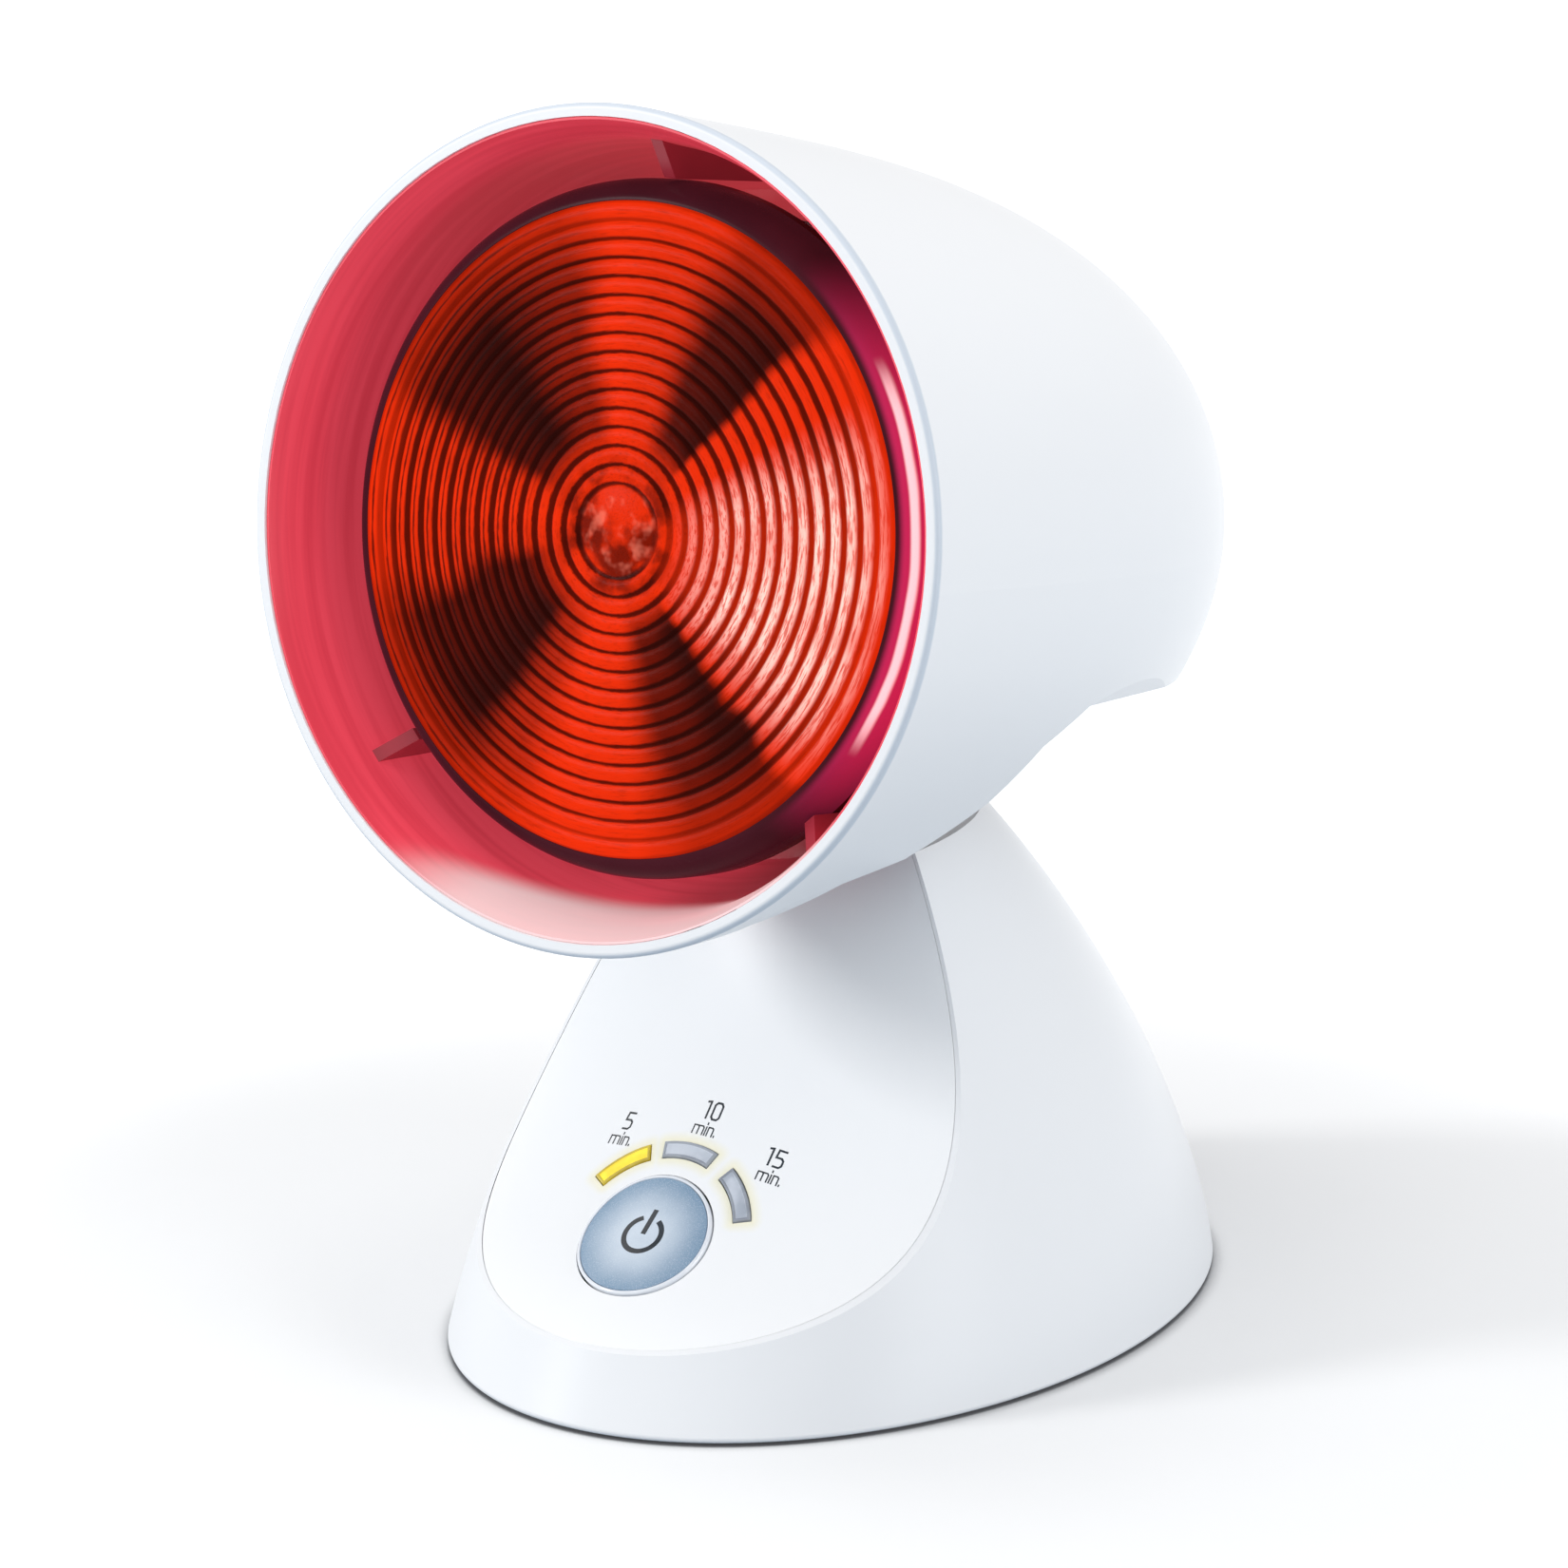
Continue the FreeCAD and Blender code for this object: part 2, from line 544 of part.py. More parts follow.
def power_button(raised_face):
    """Round push button whose top follows the face, with its flange and stem."""
    cap = Part.makeCylinder(BUTTON_RADIUS, CUT_REACH, V(0, 0, -BUTTON_CAP_DEPTH))
    cap = to_face(cap).cut(raised_face)
    flange = Part.makeCylinder(BUTTON_FLANGE_RADIUS, BUTTON_FLANGE_THICK,
                               V(0, 0, -BUTTON_CAP_DEPTH - BUTTON_FLANGE_THICK))
    stem_end = -BOARD_DEPTH + SWITCH_HEIGHT + BUTTON_TRAVEL + SLIP
    stem_start = -BUTTON_CAP_DEPTH - BUTTON_FLANGE_THICK
    stem = Part.makeCylinder(STEM_RADIUS, stem_start - stem_end + BUTTON_FLANGE_THICK / 2, V(0, 0, stem_end))
    return cap.fuse(to_face(flange)).fuse(to_face(stem)).removeSplitter()


def tact_switch():
    """Small square switch with a well for its plunger."""
    box = Part.makeBox(SWITCH_SIDE, SWITCH_SIDE, SWITCH_HEIGHT,
                       V(-SWITCH_SIDE / 2, -SWITCH_SIDE / 2, -BOARD_DEPTH))
    well = Part.makeCylinder(PLUNGER_RADIUS + GAP, SWITCH_HEIGHT, V(0, 0, -BOARD_DEPTH + SWITCH_FLOOR))
    return to_face(box.cut(well))


def switch_plunger():
    """Plunger between the button's stem and the switch."""
    top = -BOARD_DEPTH + SWITCH_HEIGHT + BUTTON_TRAVEL + SLIP
    bottom = -BOARD_DEPTH + SWITCH_FLOOR + BUTTON_TRAVEL + SLIP
    return to_face(Part.makeCylinder(PLUNGER_RADIUS, top - bottom, V(0, 0, bottom)))


def timer_board():
    board = Part.makeBox(2 * BOARD_HALF_WIDTH, BOARD_HIGH - BOARD_LOW, BOARD_THICK,
                         V(-BOARD_HALF_WIDTH, BOARD_LOW, -BOARD_DEPTH - BOARD_THICK))
    board = board.makeFillet(BOARD_CORNER, [e for e in board.Edges if abs(e.tangentAt(0).z) > 0.9])
    for x in (-1, 1):
        board = board.cut(Part.makeCylinder(M3_RADIUS + GAP, 2 * BOARD_DEPTH,
                                            V(x * BOARD_POST_X, BOARD_POST_U, -2 * BOARD_DEPTH)))
    return to_face(board)


def board_screw(side):
    screw = pan_screw(BOARD_THICK + BOARD_SCREW_BITE).rotated(V(0, 0, 0), V(1, 0, 0), 180)
    return to_face(screw.translated(V(side * BOARD_POST_X, BOARD_POST_U, -BOARD_DEPTH - BOARD_THICK)))


def led(name):
    angle = math.radians(WINDOW_ANGLES[name])
    mean = (WINDOW_INNER + WINDOW_OUTER) / 2
    length, width, height = LED_SIZE
    block = Part.makeBox(length, width, height, V(-length / 2, -width / 2, 0))
    block = block.rotated(V(0, 0, 0), V(0, 0, 1), WINDOW_ANGLES[name] - 90)
    return to_face(block.translated(V(mean * math.cos(angle), mean * math.sin(angle), -BOARD_DEPTH)))


def window(name, window_top):
    """Light guide from just above its lamp to the face."""
    low = -BOARD_DEPTH + LED_SIZE[2] + GAP
    return to_face(window_block(name, 0.0, low, CUT_REACH)).cut(window_top)


def back_part(size, place):
    """Boxy part soldered to the back of the board."""
    length, width, height = size
    block = Part.makeBox(length, width, height,
                         V(place[0] - length / 2, place[1] - width / 2, -BOARD_DEPTH - BOARD_THICK - height))
    return to_face(block.makeFillet(0.6, block.Edges))


def base_plate():
    plate = Part.Face(body_section(PLATE_BOTTOM + PLATE_THICK, BODY_WALL + SLIP)).extrude(V(0, 0, -PLATE_THICK))
    for x, y in POST_PLACES:
        plate = plate.cut(post_cylinder(x, y, M3_RADIUS + GAP, 0, PLATE_BOTTOM + 2 * PLATE_THICK))
        plate = plate.cut(post_cylinder(x, y, M3_HEAD_RADIUS + GAP, 0, PLATE_BOTTOM + BASE_SCREW_SUNK))
    return plate


def rubber_foot(x, y):
    pad = post_cylinder(x, y, PAD_RADIUS, 0, PLATE_BOTTOM)
    return pad.makeFillet(PAD_ROUND, [e for e in pad.Edges if e.BoundBox.ZMax < 0.01])


def base_screw(x, y):
    screw = pan_screw(PLATE_THICK + BASE_SCREW_BITE, head_height=BASE_SCREW_HEAD)
    return screw.rotated(V(0, 0, 0), V(1, 0, 0), 180).translated(V(x, y, PLATE_BOTTOM + BASE_SCREW_SUNK))


def cord_gland():
    """Grommet with a bore for the mains cord, in the back of the foot."""
    along = V(0, 1, 0)
    inner_y = GLAND_SEAT_Y - GLAND_PAD_DEPTH - GLAND_COLLAR_THICK - GAP
    nose_y = GLAND_SEAT_Y + GLAND_COLLAR_THICK
    gland = Part.makeCylinder(GLAND_BODY_RADIUS, nose_y - inner_y, V(0, inner_y, GLAND_Z), along)
    for start in (inner_y, GLAND_SEAT_Y):
        collar = Part.makeCylinder(GLAND_COLLAR_RADIUS, GLAND_COLLAR_THICK, V(0, start, GLAND_Z), along)
        gland = gland.fuse(collar)
    nose = Part.makeCone(GLAND_NOSE_ROOT, GLAND_NOSE_TIP, GLAND_NOSE_LENGTH, V(0, nose_y, GLAND_Z), along)
    bore = Part.makeCylinder(GLAND_BORE, FOOT_HALF_DEPTH, V(0, inner_y - GAP, GLAND_Z), along)
    return gland.fuse(nose).cut(bore).removeSplitter()


def terminal_block():
    length, width, height = TERMINAL_SIZE
    floor = PLATE_BOTTOM + PLATE_THICK
    block = Part.makeBox(length, width, height, V(-length / 2, TERMINAL_Y - width / 2, floor))
    for step in (-1, 0, 1):
        x = step * length / 3
        well_floor = floor + height - TERMINAL_CUT
        block = block.cut(post_cylinder(x, TERMINAL_Y, TERMINAL_WELL_RADIUS, well_floor, floor + height))
        bore_start = V(x, TERMINAL_Y + width / 2 - TERMINAL_CUT, floor + TERMINAL_BORE_HEIGHT)
        block = block.cut(Part.makeCylinder(TERMINAL_BORE_RADIUS, TERMINAL_CUT, bore_start, V(0, 1, 0)))
    return block


# ================================================================ tilt pivot
STUB_FOOT = NECK_TOP - NECK_PLATE - POST_FLANGE_THICK
POST_SCREW_X = KNUCKLE_HALF_WIDTH * 0.6
POST_SCREW_Y = PIVOT_Y + STUB_HALF_DEPTH + POST_FLANGE_MARGIN * 0.6


def post_screw_hole(side):
    return post_cylinder(side * POST_SCREW_X, POST_SCREW_Y, M3_RADIUS, 0, NECK_TOP - POST_SCREW_SKIN)


def pivot_post():
    """Knuckle on a hollow stub; its flange is screwed up under the neck's top."""
    along = V(1, 0, 0)
    half = KNUCKLE_HALF_WIDTH
    barrel = Part.makeCylinder(KNUCKLE_RADIUS, 2 * half, V(-half, PIVOT_Y, PIVOT_Z), along)
    stub = Part.makeBox(2 * half, 2 * STUB_HALF_DEPTH, PIVOT_Z - STUB_FOOT,
                        V(-half, PIVOT_Y - STUB_HALF_DEPTH, STUB_FOOT))
    reach = half + POST_FLANGE_MARGIN
    depth = STUB_HALF_DEPTH + POST_FLANGE_MARGIN
    flange = Part.makeBox(2 * reach, STUB_HALF_DEPTH * 2 + POST_FLANGE_MARGIN * 1.4, POST_FLANGE_THICK,
                          V(-reach, PIVOT_Y - STUB_HALF_DEPTH - POST_FLANGE_MARGIN * 0.2, STUB_FOOT))
    room = half - KNUCKLE_END_WALL
    chamber = Part.makeCylinder(CHAMBER_RADIUS, 2 * room, V(-room, PIVOT_Y, PIVOT_Z), along)
    shaft = Part.makeBox(2 * room, depth, PIVOT_Z - STUB_FOOT + STUB_HALF_DEPTH,
                         V(-room, PIVOT_Y - depth / 2, STUB_FOOT - STUB_HALF_DEPTH))
    bores = Part.makeCylinder(PIN_RADIUS + PRESS, 4 * half, V(-2 * half, PIVOT_Y, PIVOT_Z), along)
    post = barrel.fuse(stub).fuse(flange).cut(chamber).cut(shaft).cut(bores)
    for side in (-1, 1):
        hole = post_cylinder(side * POST_SCREW_X, POST_SCREW_Y, M3_RADIUS + GAP, 0, NECK_TOP - NECK_PLATE)
        post = post.cut(hole)
    return post.removeSplitter()


def post_screw(side):
    screw = pan_screw(POST_FLANGE_THICK + POST_SCREW_BITE).rotated(V(0, 0, 0), V(1, 0, 0), 180)
    return screw.translated(V(side * POST_SCREW_X, POST_SCREW_Y, STUB_FOOT))


WASHER_X = KNUCKLE_HALF_WIDTH + SIDE_PLAY
EAR_X = WASHER_X + WASHER_THICK + SIDE_PLAY
CLIP_X = EAR_X + EAR_THICK + SIDE_PLAY
PIN_END_X = CLIP_X + CLIP_THICK


def side_ring(side, x, thick, outer, inner):
    """Ring about the tilt axis on one side of the knuckle."""
    start = x if side > 0 else -x - thick
    at = V(start, PIVOT_Y, PIVOT_Z)
    ring = Part.makeCylinder(outer, thick, at, V(1, 0, 0))
    return ring.cut(Part.makeCylinder(inner, thick, at, V(1, 0, 0)))


def pivot_pin(side):
    """Pin pressed into one end wall of the knuckle."""
    inner_x = KNUCKLE_HALF_WIDTH - KNUCKLE_END_WALL
    start = inner_x if side > 0 else -PIN_END_X
    pin = Part.makeCylinder(PIN_RADIUS, PIN_END_X - inner_x, V(start, PIVOT_Y, PIVOT_Z), V(1, 0, 0))
    groove_at = CLIP_X if side > 0 else -CLIP_X - CLIP_THICK
    groove = Part.makeCylinder(PIN_RADIUS + 1, CLIP_THICK, V(groove_at, PIVOT_Y, PIVOT_Z), V(1, 0, 0))
    core = Part.makeCylinder(PIN_RADIUS - PIN_GROOVE, CLIP_THICK, V(groove_at, PIVOT_Y, PIVOT_Z), V(1, 0, 0))
    return pin.cut(groove.cut(core))


# ================================================================ head shells
def hood_outline(inset, first, last):
    """Points of the hood's outline, moved inwards by the inset."""
    points = []
    step = 0.05
    for i in range(HOOD_STEPS + 1):
        s = first + (last - first) * math.sin(math.pi / 2 * i / HOOD_STEPS)
        slope = (hood_radius(s + step) - hood_radius(s - step)) / (2 * step)
        size = math.hypot(1, slope)
        points.append((hood_radius(s) - inset / size, s + inset * slope / size))
    return points


def hood_core(inset):
    """Solid core of the hood, from in front of the rim to its flat back."""
    outline = hood_outline(inset, 0.0, HOOD_BACK - inset * 0.3)
    core = spun_core(outline)
    back = HOOD_BACK - inset
    cut_back = Part.makeCylinder(HOOD_RADIUS * 2, HOOD_BACK, V(0, back, 0), V(0, 1, 0))
    front_radius = outline[0][0]
    lead_in_at = V(0, outline[0][1] - front_radius, 0)
    lead_in = Part.makeCylinder(front_radius, front_radius, lead_in_at, V(0, 1, 0))
    if inset > 0:
        core = core.fuse(lead_in)
    return core.cut(cut_back)


def below_seam(rise):
    """Block below the seam between the hood and the cowl, raised by rise."""
    first, *between, last = SEAM
    far = HOOD_DEPTH * 1.2
    low = -HOOD_RADIUS * 1.3
    outline = [(first[0] - rise, low), (first[0] - rise, first[1] + rise * 0.3)]
    outline += [(depth - rise * 0.7, height + rise) for depth, height in between]
    outline += [(last[0], last[1] + rise), (far, last[1] + rise), (far, low)]
    side = polygon([V(-2 * HOOD_RADIUS, depth, height) for depth, height in outline])
    return side.extrude(V(4 * HOOD_RADIUS, 0, 0))


def facet_wedge(side):
    """Wedge that leaves the leaning flat along the hood's lower edge."""
    height = SEAM[-1][1]
    ends = []
    for depth in (SEAM[-1][0], SEAM_END_DEPTH):
        ends.append(V(side * math.sqrt(hood_radius(depth) ** 2 - height ** 2), depth, height))
    run = (ends[1] - ends[0]).normalize()
    outward = V(side * abs(run.y), -run.x * side * (1 if run.y > 0 else -1), 0)
    lean = math.radians(FACET_TILT)
    up = outward * math.sin(lean) + V(0, 0, math.cos(lean))
    below = V(0, 0, FACET_REACH / 5)
    start = ends[0] - run * FACET_REACH
    corners = [start, start + up * FACET_REACH, start + outward * FACET_REACH - below, start - below]
    return polygon(corners).extrude(run * (ends[0].distanceToPoint(ends[1]) + 2 * FACET_REACH))


def cowl_core(inset):
    """Solid core of the narrower cowl under the head."""
    return spun_core([(r - inset, s) for s, r in COWL])


def holder_boss(angle):
    """Pillar from the hood's back towards the lampholder plate."""
    a = math.radians(angle)
    start = HOLDER_PLATE_DEPTH + HOLDER_PLATE_THICK
    at = V(ARM_RADIUS * math.cos(a), start, ARM_RADIUS * math.sin(a))
    return Part.makeCylinder(BOSS_RADIUS, HOOD_DEPTH - start, at, V(0, 1, 0)), at


def head_shell():
    """Hood: rim, round wall and flat back, open below its seam."""
    outer = hood_core(0.0)
    rim = [e for e in outer.Edges if e.BoundBox.YMax < 0.01 and e.Length > 10]
    outer = outer.makeFillet(RIM_ROUND, rim)
    shell = outer.cut(hood_core(HOOD_WALL))
    hole = Part.makeCylinder(BACK_HOLE_RADIUS, HOOD_DEPTH, V(0, HOOD_BACK - 3 * HOOD_WALL, 0), V(0, 1, 0))
    shell = shell.cut(hole).cut(below_seam(0.0))
    for angle in ARM_ANGLES:
        boss, at = holder_boss(angle)
        shell = shell.fuse(boss.common(outer))
        shell = shell.cut(Part.makeCylinder(M3_RADIUS, HOLDER_BORE_DEPTH, at, V(0, 1, 0)))
    for side in (-1, 1):
        shell = shell.cut(facet_wedge(side))
    return to_head(shell.removeSplitter())


def bracket_block(side):
    """Solid foot for a tilt bracket on the cowl's side wall."""
    width = HOOD_RADIUS - BRACKET_BLOCK_X
    start = BRACKET_BLOCK_X if side > 0 else -BRACKET_BLOCK_X - width
    return Part.makeBox(width, 2 * BRACKET_HALF_LENGTH, BRACKET_BLOCK_FOOT,
                        V(start, PIVOT_DEPTH - BRACKET_HALF_LENGTH, BRACKET_SEAT - BRACKET_BLOCK_FOOT))


def head_cowl():
    """Narrower underside of the head with the slot that the neck swings in."""
    outer = cowl_core(0.0).common(hood_core(0.0))
    room = cowl_core(HOOD_WALL)
    wall = outer.common(below_seam(-GAP))
    shelf = hood_core(HOOD_WALL + GAP * 2).common(below_seam(COWL_SHELF))
    cowl = wall.fuse(shelf.cut(below_seam(-GAP * 2))).cut(room.common(hood_core(HOOD_WALL)))
    cowl = cowl.cut(Part.makeCylinder(HOOD_RADIUS, HOOD_DEPTH, V(0, HOOD_BACK - GAP, 0), V(0, 1, 0)))
    for side in (-1, 1):
        cowl = cowl.fuse(bracket_block(side).common(cowl_core(HOOD_WALL * 0.5)))
    slot_height = HOOD_RADIUS + SEAM[-1][1] - COWL_SHELF
    slot = Part.makeBox(2 * SLOT_HALF_WIDTH, SLOT_AHEAD + SLOT_BEHIND, slot_height,
                        V(-SLOT_HALF_WIDTH, PIVOT_DEPTH - SLOT_AHEAD, -HOOD_RADIUS - COWL_SHELF * 2))
    slot = slot.makeFillet(SLOT_CORNER, [e for e in slot.Edges if abs(e.tangentAt(0).z) > 0.9])
    cowl = cowl.cut(slot)
    for side in (-1, 1):
        bore_end = BRACKET_SEAT - BRACKET_BORE_DEPTH
        cowl = cowl.cut(post_cylinder(side * BRACKET_SCREW_X, PIVOT_DEPTH, M3_RADIUS, bore_end, BRACKET_SEAT))
    cowl = max(cowl.Solids, key=lambda solid: solid.Volume)
    return to_head(cowl.removeSplitter())


def tilt_bracket(side):
    """Ear that turns on the pivot, with a foot screwed to the cowl."""
    top = BRACKET_SEAT + BRACKET_PLATE
    start = EAR_X if side > 0 else -EAR_X - EAR_THICK
    at = V(start, PIVOT_DEPTH, -PIVOT_DROP)
    ear = Part.makeCylinder(EAR_RADIUS, EAR_THICK, at, V(1, 0, 0))
    web_at = V(start, PIVOT_DEPTH - EAR_RADIUS, -PIVOT_DROP)
    web = Part.makeBox(EAR_THICK, 2 * EAR_RADIUS, EAR_RADIUS, web_at)
    foot_x = EAR_X if side > 0 else -COWL_WALL_X
    foot = Part.makeBox(COWL_WALL_X - EAR_X, 2 * BRACKET_HALF_LENGTH, BRACKET_PLATE,
                        V(foot_x, PIVOT_DEPTH - BRACKET_HALF_LENGTH, BRACKET_SEAT))
    foot = foot.common(cowl_core(HOOD_WALL + SLIP))
    bracket = ear.fuse(web).fuse(foot)
    bore = Part.makeCylinder(PIN_RADIUS + RUNNING, EAR_THICK, at, V(1, 0, 0))
    hole = post_cylinder(side * BRACKET_SCREW_X, PIVOT_DEPTH, M3_RADIUS + GAP, BRACKET_SEAT, top)
    bracket = bracket.cut(bore).cut(hole)
    return to_head(bracket.removeSplitter())


def bracket_screw(side):
    screw = pan_screw(BRACKET_PLATE + BRACKET_SCREW_BITE, head_radius=BRACKET_SCREW_HEAD)
    return to_head(screw.translated(V(side * BRACKET_SCREW_X, PIVOT_DEPTH, BRACKET_SEAT + BRACKET_PLATE)))


def dome_arc(rim_radius, rim_depth, rise):
    """Arc from the rim of a shallow dome to its middle, centred on the axis."""
    ball = (rim_radius ** 2 + rise ** 2) / (2 * rise)
    middle = rim_radius / 2
    drop = rise - (ball - math.sqrt(ball ** 2 - middle ** 2))
    return Part.Arc(V(rim_radius, rim_depth, 0), V(middle, rim_depth + drop, 0),
                    V(0, rim_depth + rise, 0)).toShape()


def vent_cap():
    """Domed cap over the back of the hood, with a ring of vent slots."""
    radius = hood_radius(HOOD_BACK) - CAP_SETBACK
    base = HOOD_BACK + PRESS
    skirt = BACK_HOLE_RADIUS - GAP
    room = skirt - CAP_WALL
    top = base + CAP_PLINTH
    front = HOOD_BACK - HOOD_WALL - 1.0
    corners = [V(radius, top, 0), V(radius, base, 0), V(skirt, base, 0), V(skirt, front, 0),
               V(room, front, 0), V(room, base, 0)]
    edges = Part.makePolygon(corners).Edges
    edges += [dome_arc(radius, top, CAP_RISE), dome_arc(room, base, CAP_RISE - 1.0)]
    edges.append(Part.makeLine(V(0, base + CAP_RISE - 1.0, 0), V(0, top + CAP_RISE, 0)))
    cap = spun(edges)
    for i in range(VENT_COUNT):
        slot_at = V(room - VENT_MARGIN - VENT_LENGTH, HOOD_BACK - CAP_RISE, -VENT_WIDTH / 2)
        slot = Part.makeBox(VENT_LENGTH, 4 * CAP_RISE, VENT_WIDTH, slot_at)
        slot = slot.makeFillet(VENT_WIDTH * 0.45, [e for e in slot.Edges if abs(e.tangentAt(0).y) > 0.9])
        cap = cap.cut(slot.rotated(V(0, 0, 0), V(0, 1, 0), 360.0 * i / VENT_COUNT))
    return to_head(cap)


def liner_edge(inset_front, inset_back):
    """Points of the liner's outline, moved inwards by a growing inset."""
    points = []
    first = LINER[0][0]
    for depth, radius in LINER:
        share = min(1.0, (depth - first) / (LINER[1][0] - first))
        points.append((radius - inset_front - (inset_back - inset_front) * share, depth))
    return points


def shade_liner():
    """Glossy inner wall of the shade; its back edge is turned in behind the bulb."""
    outer = liner_edge(0.0, 0.0)
    inner = liner_edge(LINER_LIP, LINER_WALL)
    turned_back = outer[-1][1] + LINER_WALL
    edges = [spline([(r, s, 0) for r, s in outer]), spline([(r, s, 0) for r, s in inner])]
    edges.append(Part.makeLine(V(outer[0][0], outer[0][1], 0), V(inner[0][0], inner[0][1], 0)))
    opening = outer[-1][0] - LINER_BACK_TURN
    corners = [outer[-1], (outer[-1][0], turned_back), (opening, turned_back), (opening, inner[-1][1]), inner[-1]]
    edges += Part.makePolygon([V(r, s, 0) for r, s in corners]).Edges
    return to_head(spun(edges))


def centring_fin(angle):
    """Thin fin on the liner that ends just outside the bulb's flange."""
    inner = FLANGE_RADIUS + SLIP
    points = [V(inner, FIN_INNER_FRONT, 0), V(HOOD_RADIUS, FIN_OUTER_FRONT - 3.0, 0),
              V(HOOD_RADIUS, FIN_BACK, 0), V(inner, FIN_BACK, 0)]
    fin = polygon(points).extrude(V(0, 0, FIN_THICK)).translated(V(0, 0, -FIN_THICK / 2))
    keep = spun_core(liner_edge(LINER_LIP, LINER_WALL))
    return to_head(fin.common(keep).rotated(V(0, 0, 0), V(0, 1, 0), -angle))


# ================================================================ bulb
def lens_depth(r, behind=0.0):
    """Depth of the lens's front, or of a surface that lies behind it."""
    ball = LENS_BALL - behind
    return LENS_FRONT + LENS_BALL - math.sqrt(ball ** 2 - r ** 2)


def ball_arc(r_from, r_to, behind):
    """Arc of the lens's ball surface, centred on the axis."""
    middle = (r_from + r_to) / 2
    points = [V(r, lens_depth(r, behind), 0) for r in (r_from, middle, r_to)]
    return Part.Arc(points[0], points[1], points[2]).toShape()


def bulb_lens():
    """Pressed glass front with concentric ribs and a rounded shoulder."""
    pitch = (LENS_RADIUS - LENS_HUB_RADIUS) / LENS_RIBS
    edges = [ball_arc(0, LENS_HUB_RADIUS, 0.0)]
    for i in range(LENS_RIBS):
        r0 = LENS_HUB_RADIUS + pitch * i
        r1 = r0 + pitch
        rm = (r0 + r1) / 2
        edges.append(Part.Arc(V(r0, lens_depth(r0), 0), V(rm, lens_depth(rm) - LENS_RIB_HEIGHT, 0),
                              V(r1, lens_depth(r1), 0)).toShape())
    shoulder = V(LENS_RADIUS, lens_depth(LENS_RADIUS), 0)
    rim = V(FLANGE_RADIUS, FLANGE_FRONT, 0)
    bulge = V((LENS_RADIUS + FLANGE_RADIUS * 3) / 4, (shoulder.y + rim.y) / 2, 0)
    edges.append(Part.Arc(shoulder, bulge, rim).toShape())
    back_radius = LENS_RADIUS - LENS_WALL
    back = lens_depth(back_radius, LENS_WALL)
    middle_back = V(0, lens_depth(0, LENS_WALL), 0)
    corners = [rim, V(FLANGE_RADIUS, FLANGE_JOINT, 0), V(back_radius, FLANGE_JOINT, 0),
               V(back_radius, back, 0)]
    edges += Part.makePolygon(corners).Edges
    edges.append(ball_arc(back_radius, 0, LENS_WALL))
    edges.append(Part.makeLine(middle_back, V(0, LENS_FRONT, 0)))
    return to_head(spun(edges))


def bulb_bowl():
    """Glass bowl behind the lens, narrowing to the bulb's neck."""
    flange = spun_polygon([(0, FLANGE_JOINT), (FLANGE_RADIUS, FLANGE_JOINT),
                           (FLANGE_RADIUS, FLANGE_BACK - FLANGE_CHAMFER),
                           (FLANGE_RADIUS - FLANGE_CHAMFER, FLANGE_BACK), (0, FLANGE_BACK)])
    bowl = flange.fuse(spun_core([(r, s) for s, r in BOWL]))
    inner = [(r - BOWL_WALL, s) for s, r in BOWL]
    mouth = Part.makeCylinder(inner[0][0], FLANGE_BACK - FLANGE_JOINT, V(0, FLANGE_JOINT, 0), V(0, 1, 0))
    return to_head(bowl.cut(spun_core(inner)).cut(mouth).removeSplitter())


def bulb_cap():
    """Metal skirt on the glass neck, screw cap with rounded thread, and contact tip."""
    neck = BOWL[-1][1]
    root = CAP_RADIUS - CAP_THREAD_DEPTH
    front = BOWL[-1][0] + GAP
    s = CAP_FRONT + 1.5
    corners = [V(0, front, 0), V(neck, front, 0), V(SKIRT_RADIUS, front + 1.5, 0),
               V(SKIRT_RADIUS, SKIRT_BACK - 3, 0), V(CAP_RADIUS + 1.0, SKIRT_BACK, 0),
               V(root, CAP_FRONT, 0), V(root, s, 0)]
    edges = Part.makePolygon(corners).Edges
    for _ in range(CAP_TURNS):
        middle = s + CAP_THREAD_PITCH / 2
        end = s + CAP_THREAD_PITCH
        edges.append(Part.Arc(V(root, s, 0), V(CAP_RADIUS, middle, 0), V(root, end, 0)).toShape())
        s = end
    tip = CAP_BACK + TIP_LENGTH
    corners = [V(root, s, 0), V(root, CAP_BACK, 0), V(root * 0.55, tip - 2.0, 0), V(4.8, tip - 1.6, 0),
               V(4.8, tip, 0), V(0, tip, 0), V(0, front, 0)]
    edges += Part.makePolygon(corners).Edges
    return to_head(spun(edges))


# ================================================================ lampholder
def lampholder():
    """Ceramic holder with a flange that bears on the holder plate."""
    bore = CAP_RADIUS + SLIP + SLEEVE_WALL + GAP
    plate_back = HOLDER_PLATE_DEPTH + HOLDER_PLATE_THICK
    flange_back = plate_back + HOLDER_FLANGE_THICK
    body = spun_polygon([(bore, HOLDER_FRONT), (HOLDER_RADIUS, HOLDER_FRONT), (HOLDER_RADIUS, plate_back),
                         (HOLDER_FLANGE_RADIUS, plate_back), (HOLDER_FLANGE_RADIUS, flange_back),
                         (HOLDER_RADIUS, flange_back), (HOLDER_RADIUS, HOLDER_BACK - HOLDER_CHAMFER),
                         (HOLDER_RADIUS - HOLDER_CHAMFER, HOLDER_BACK), (0, HOLDER_BACK),
                         (0, HOLDER_FLOOR), (bore, HOLDER_FLOOR)])
    return to_head(body)


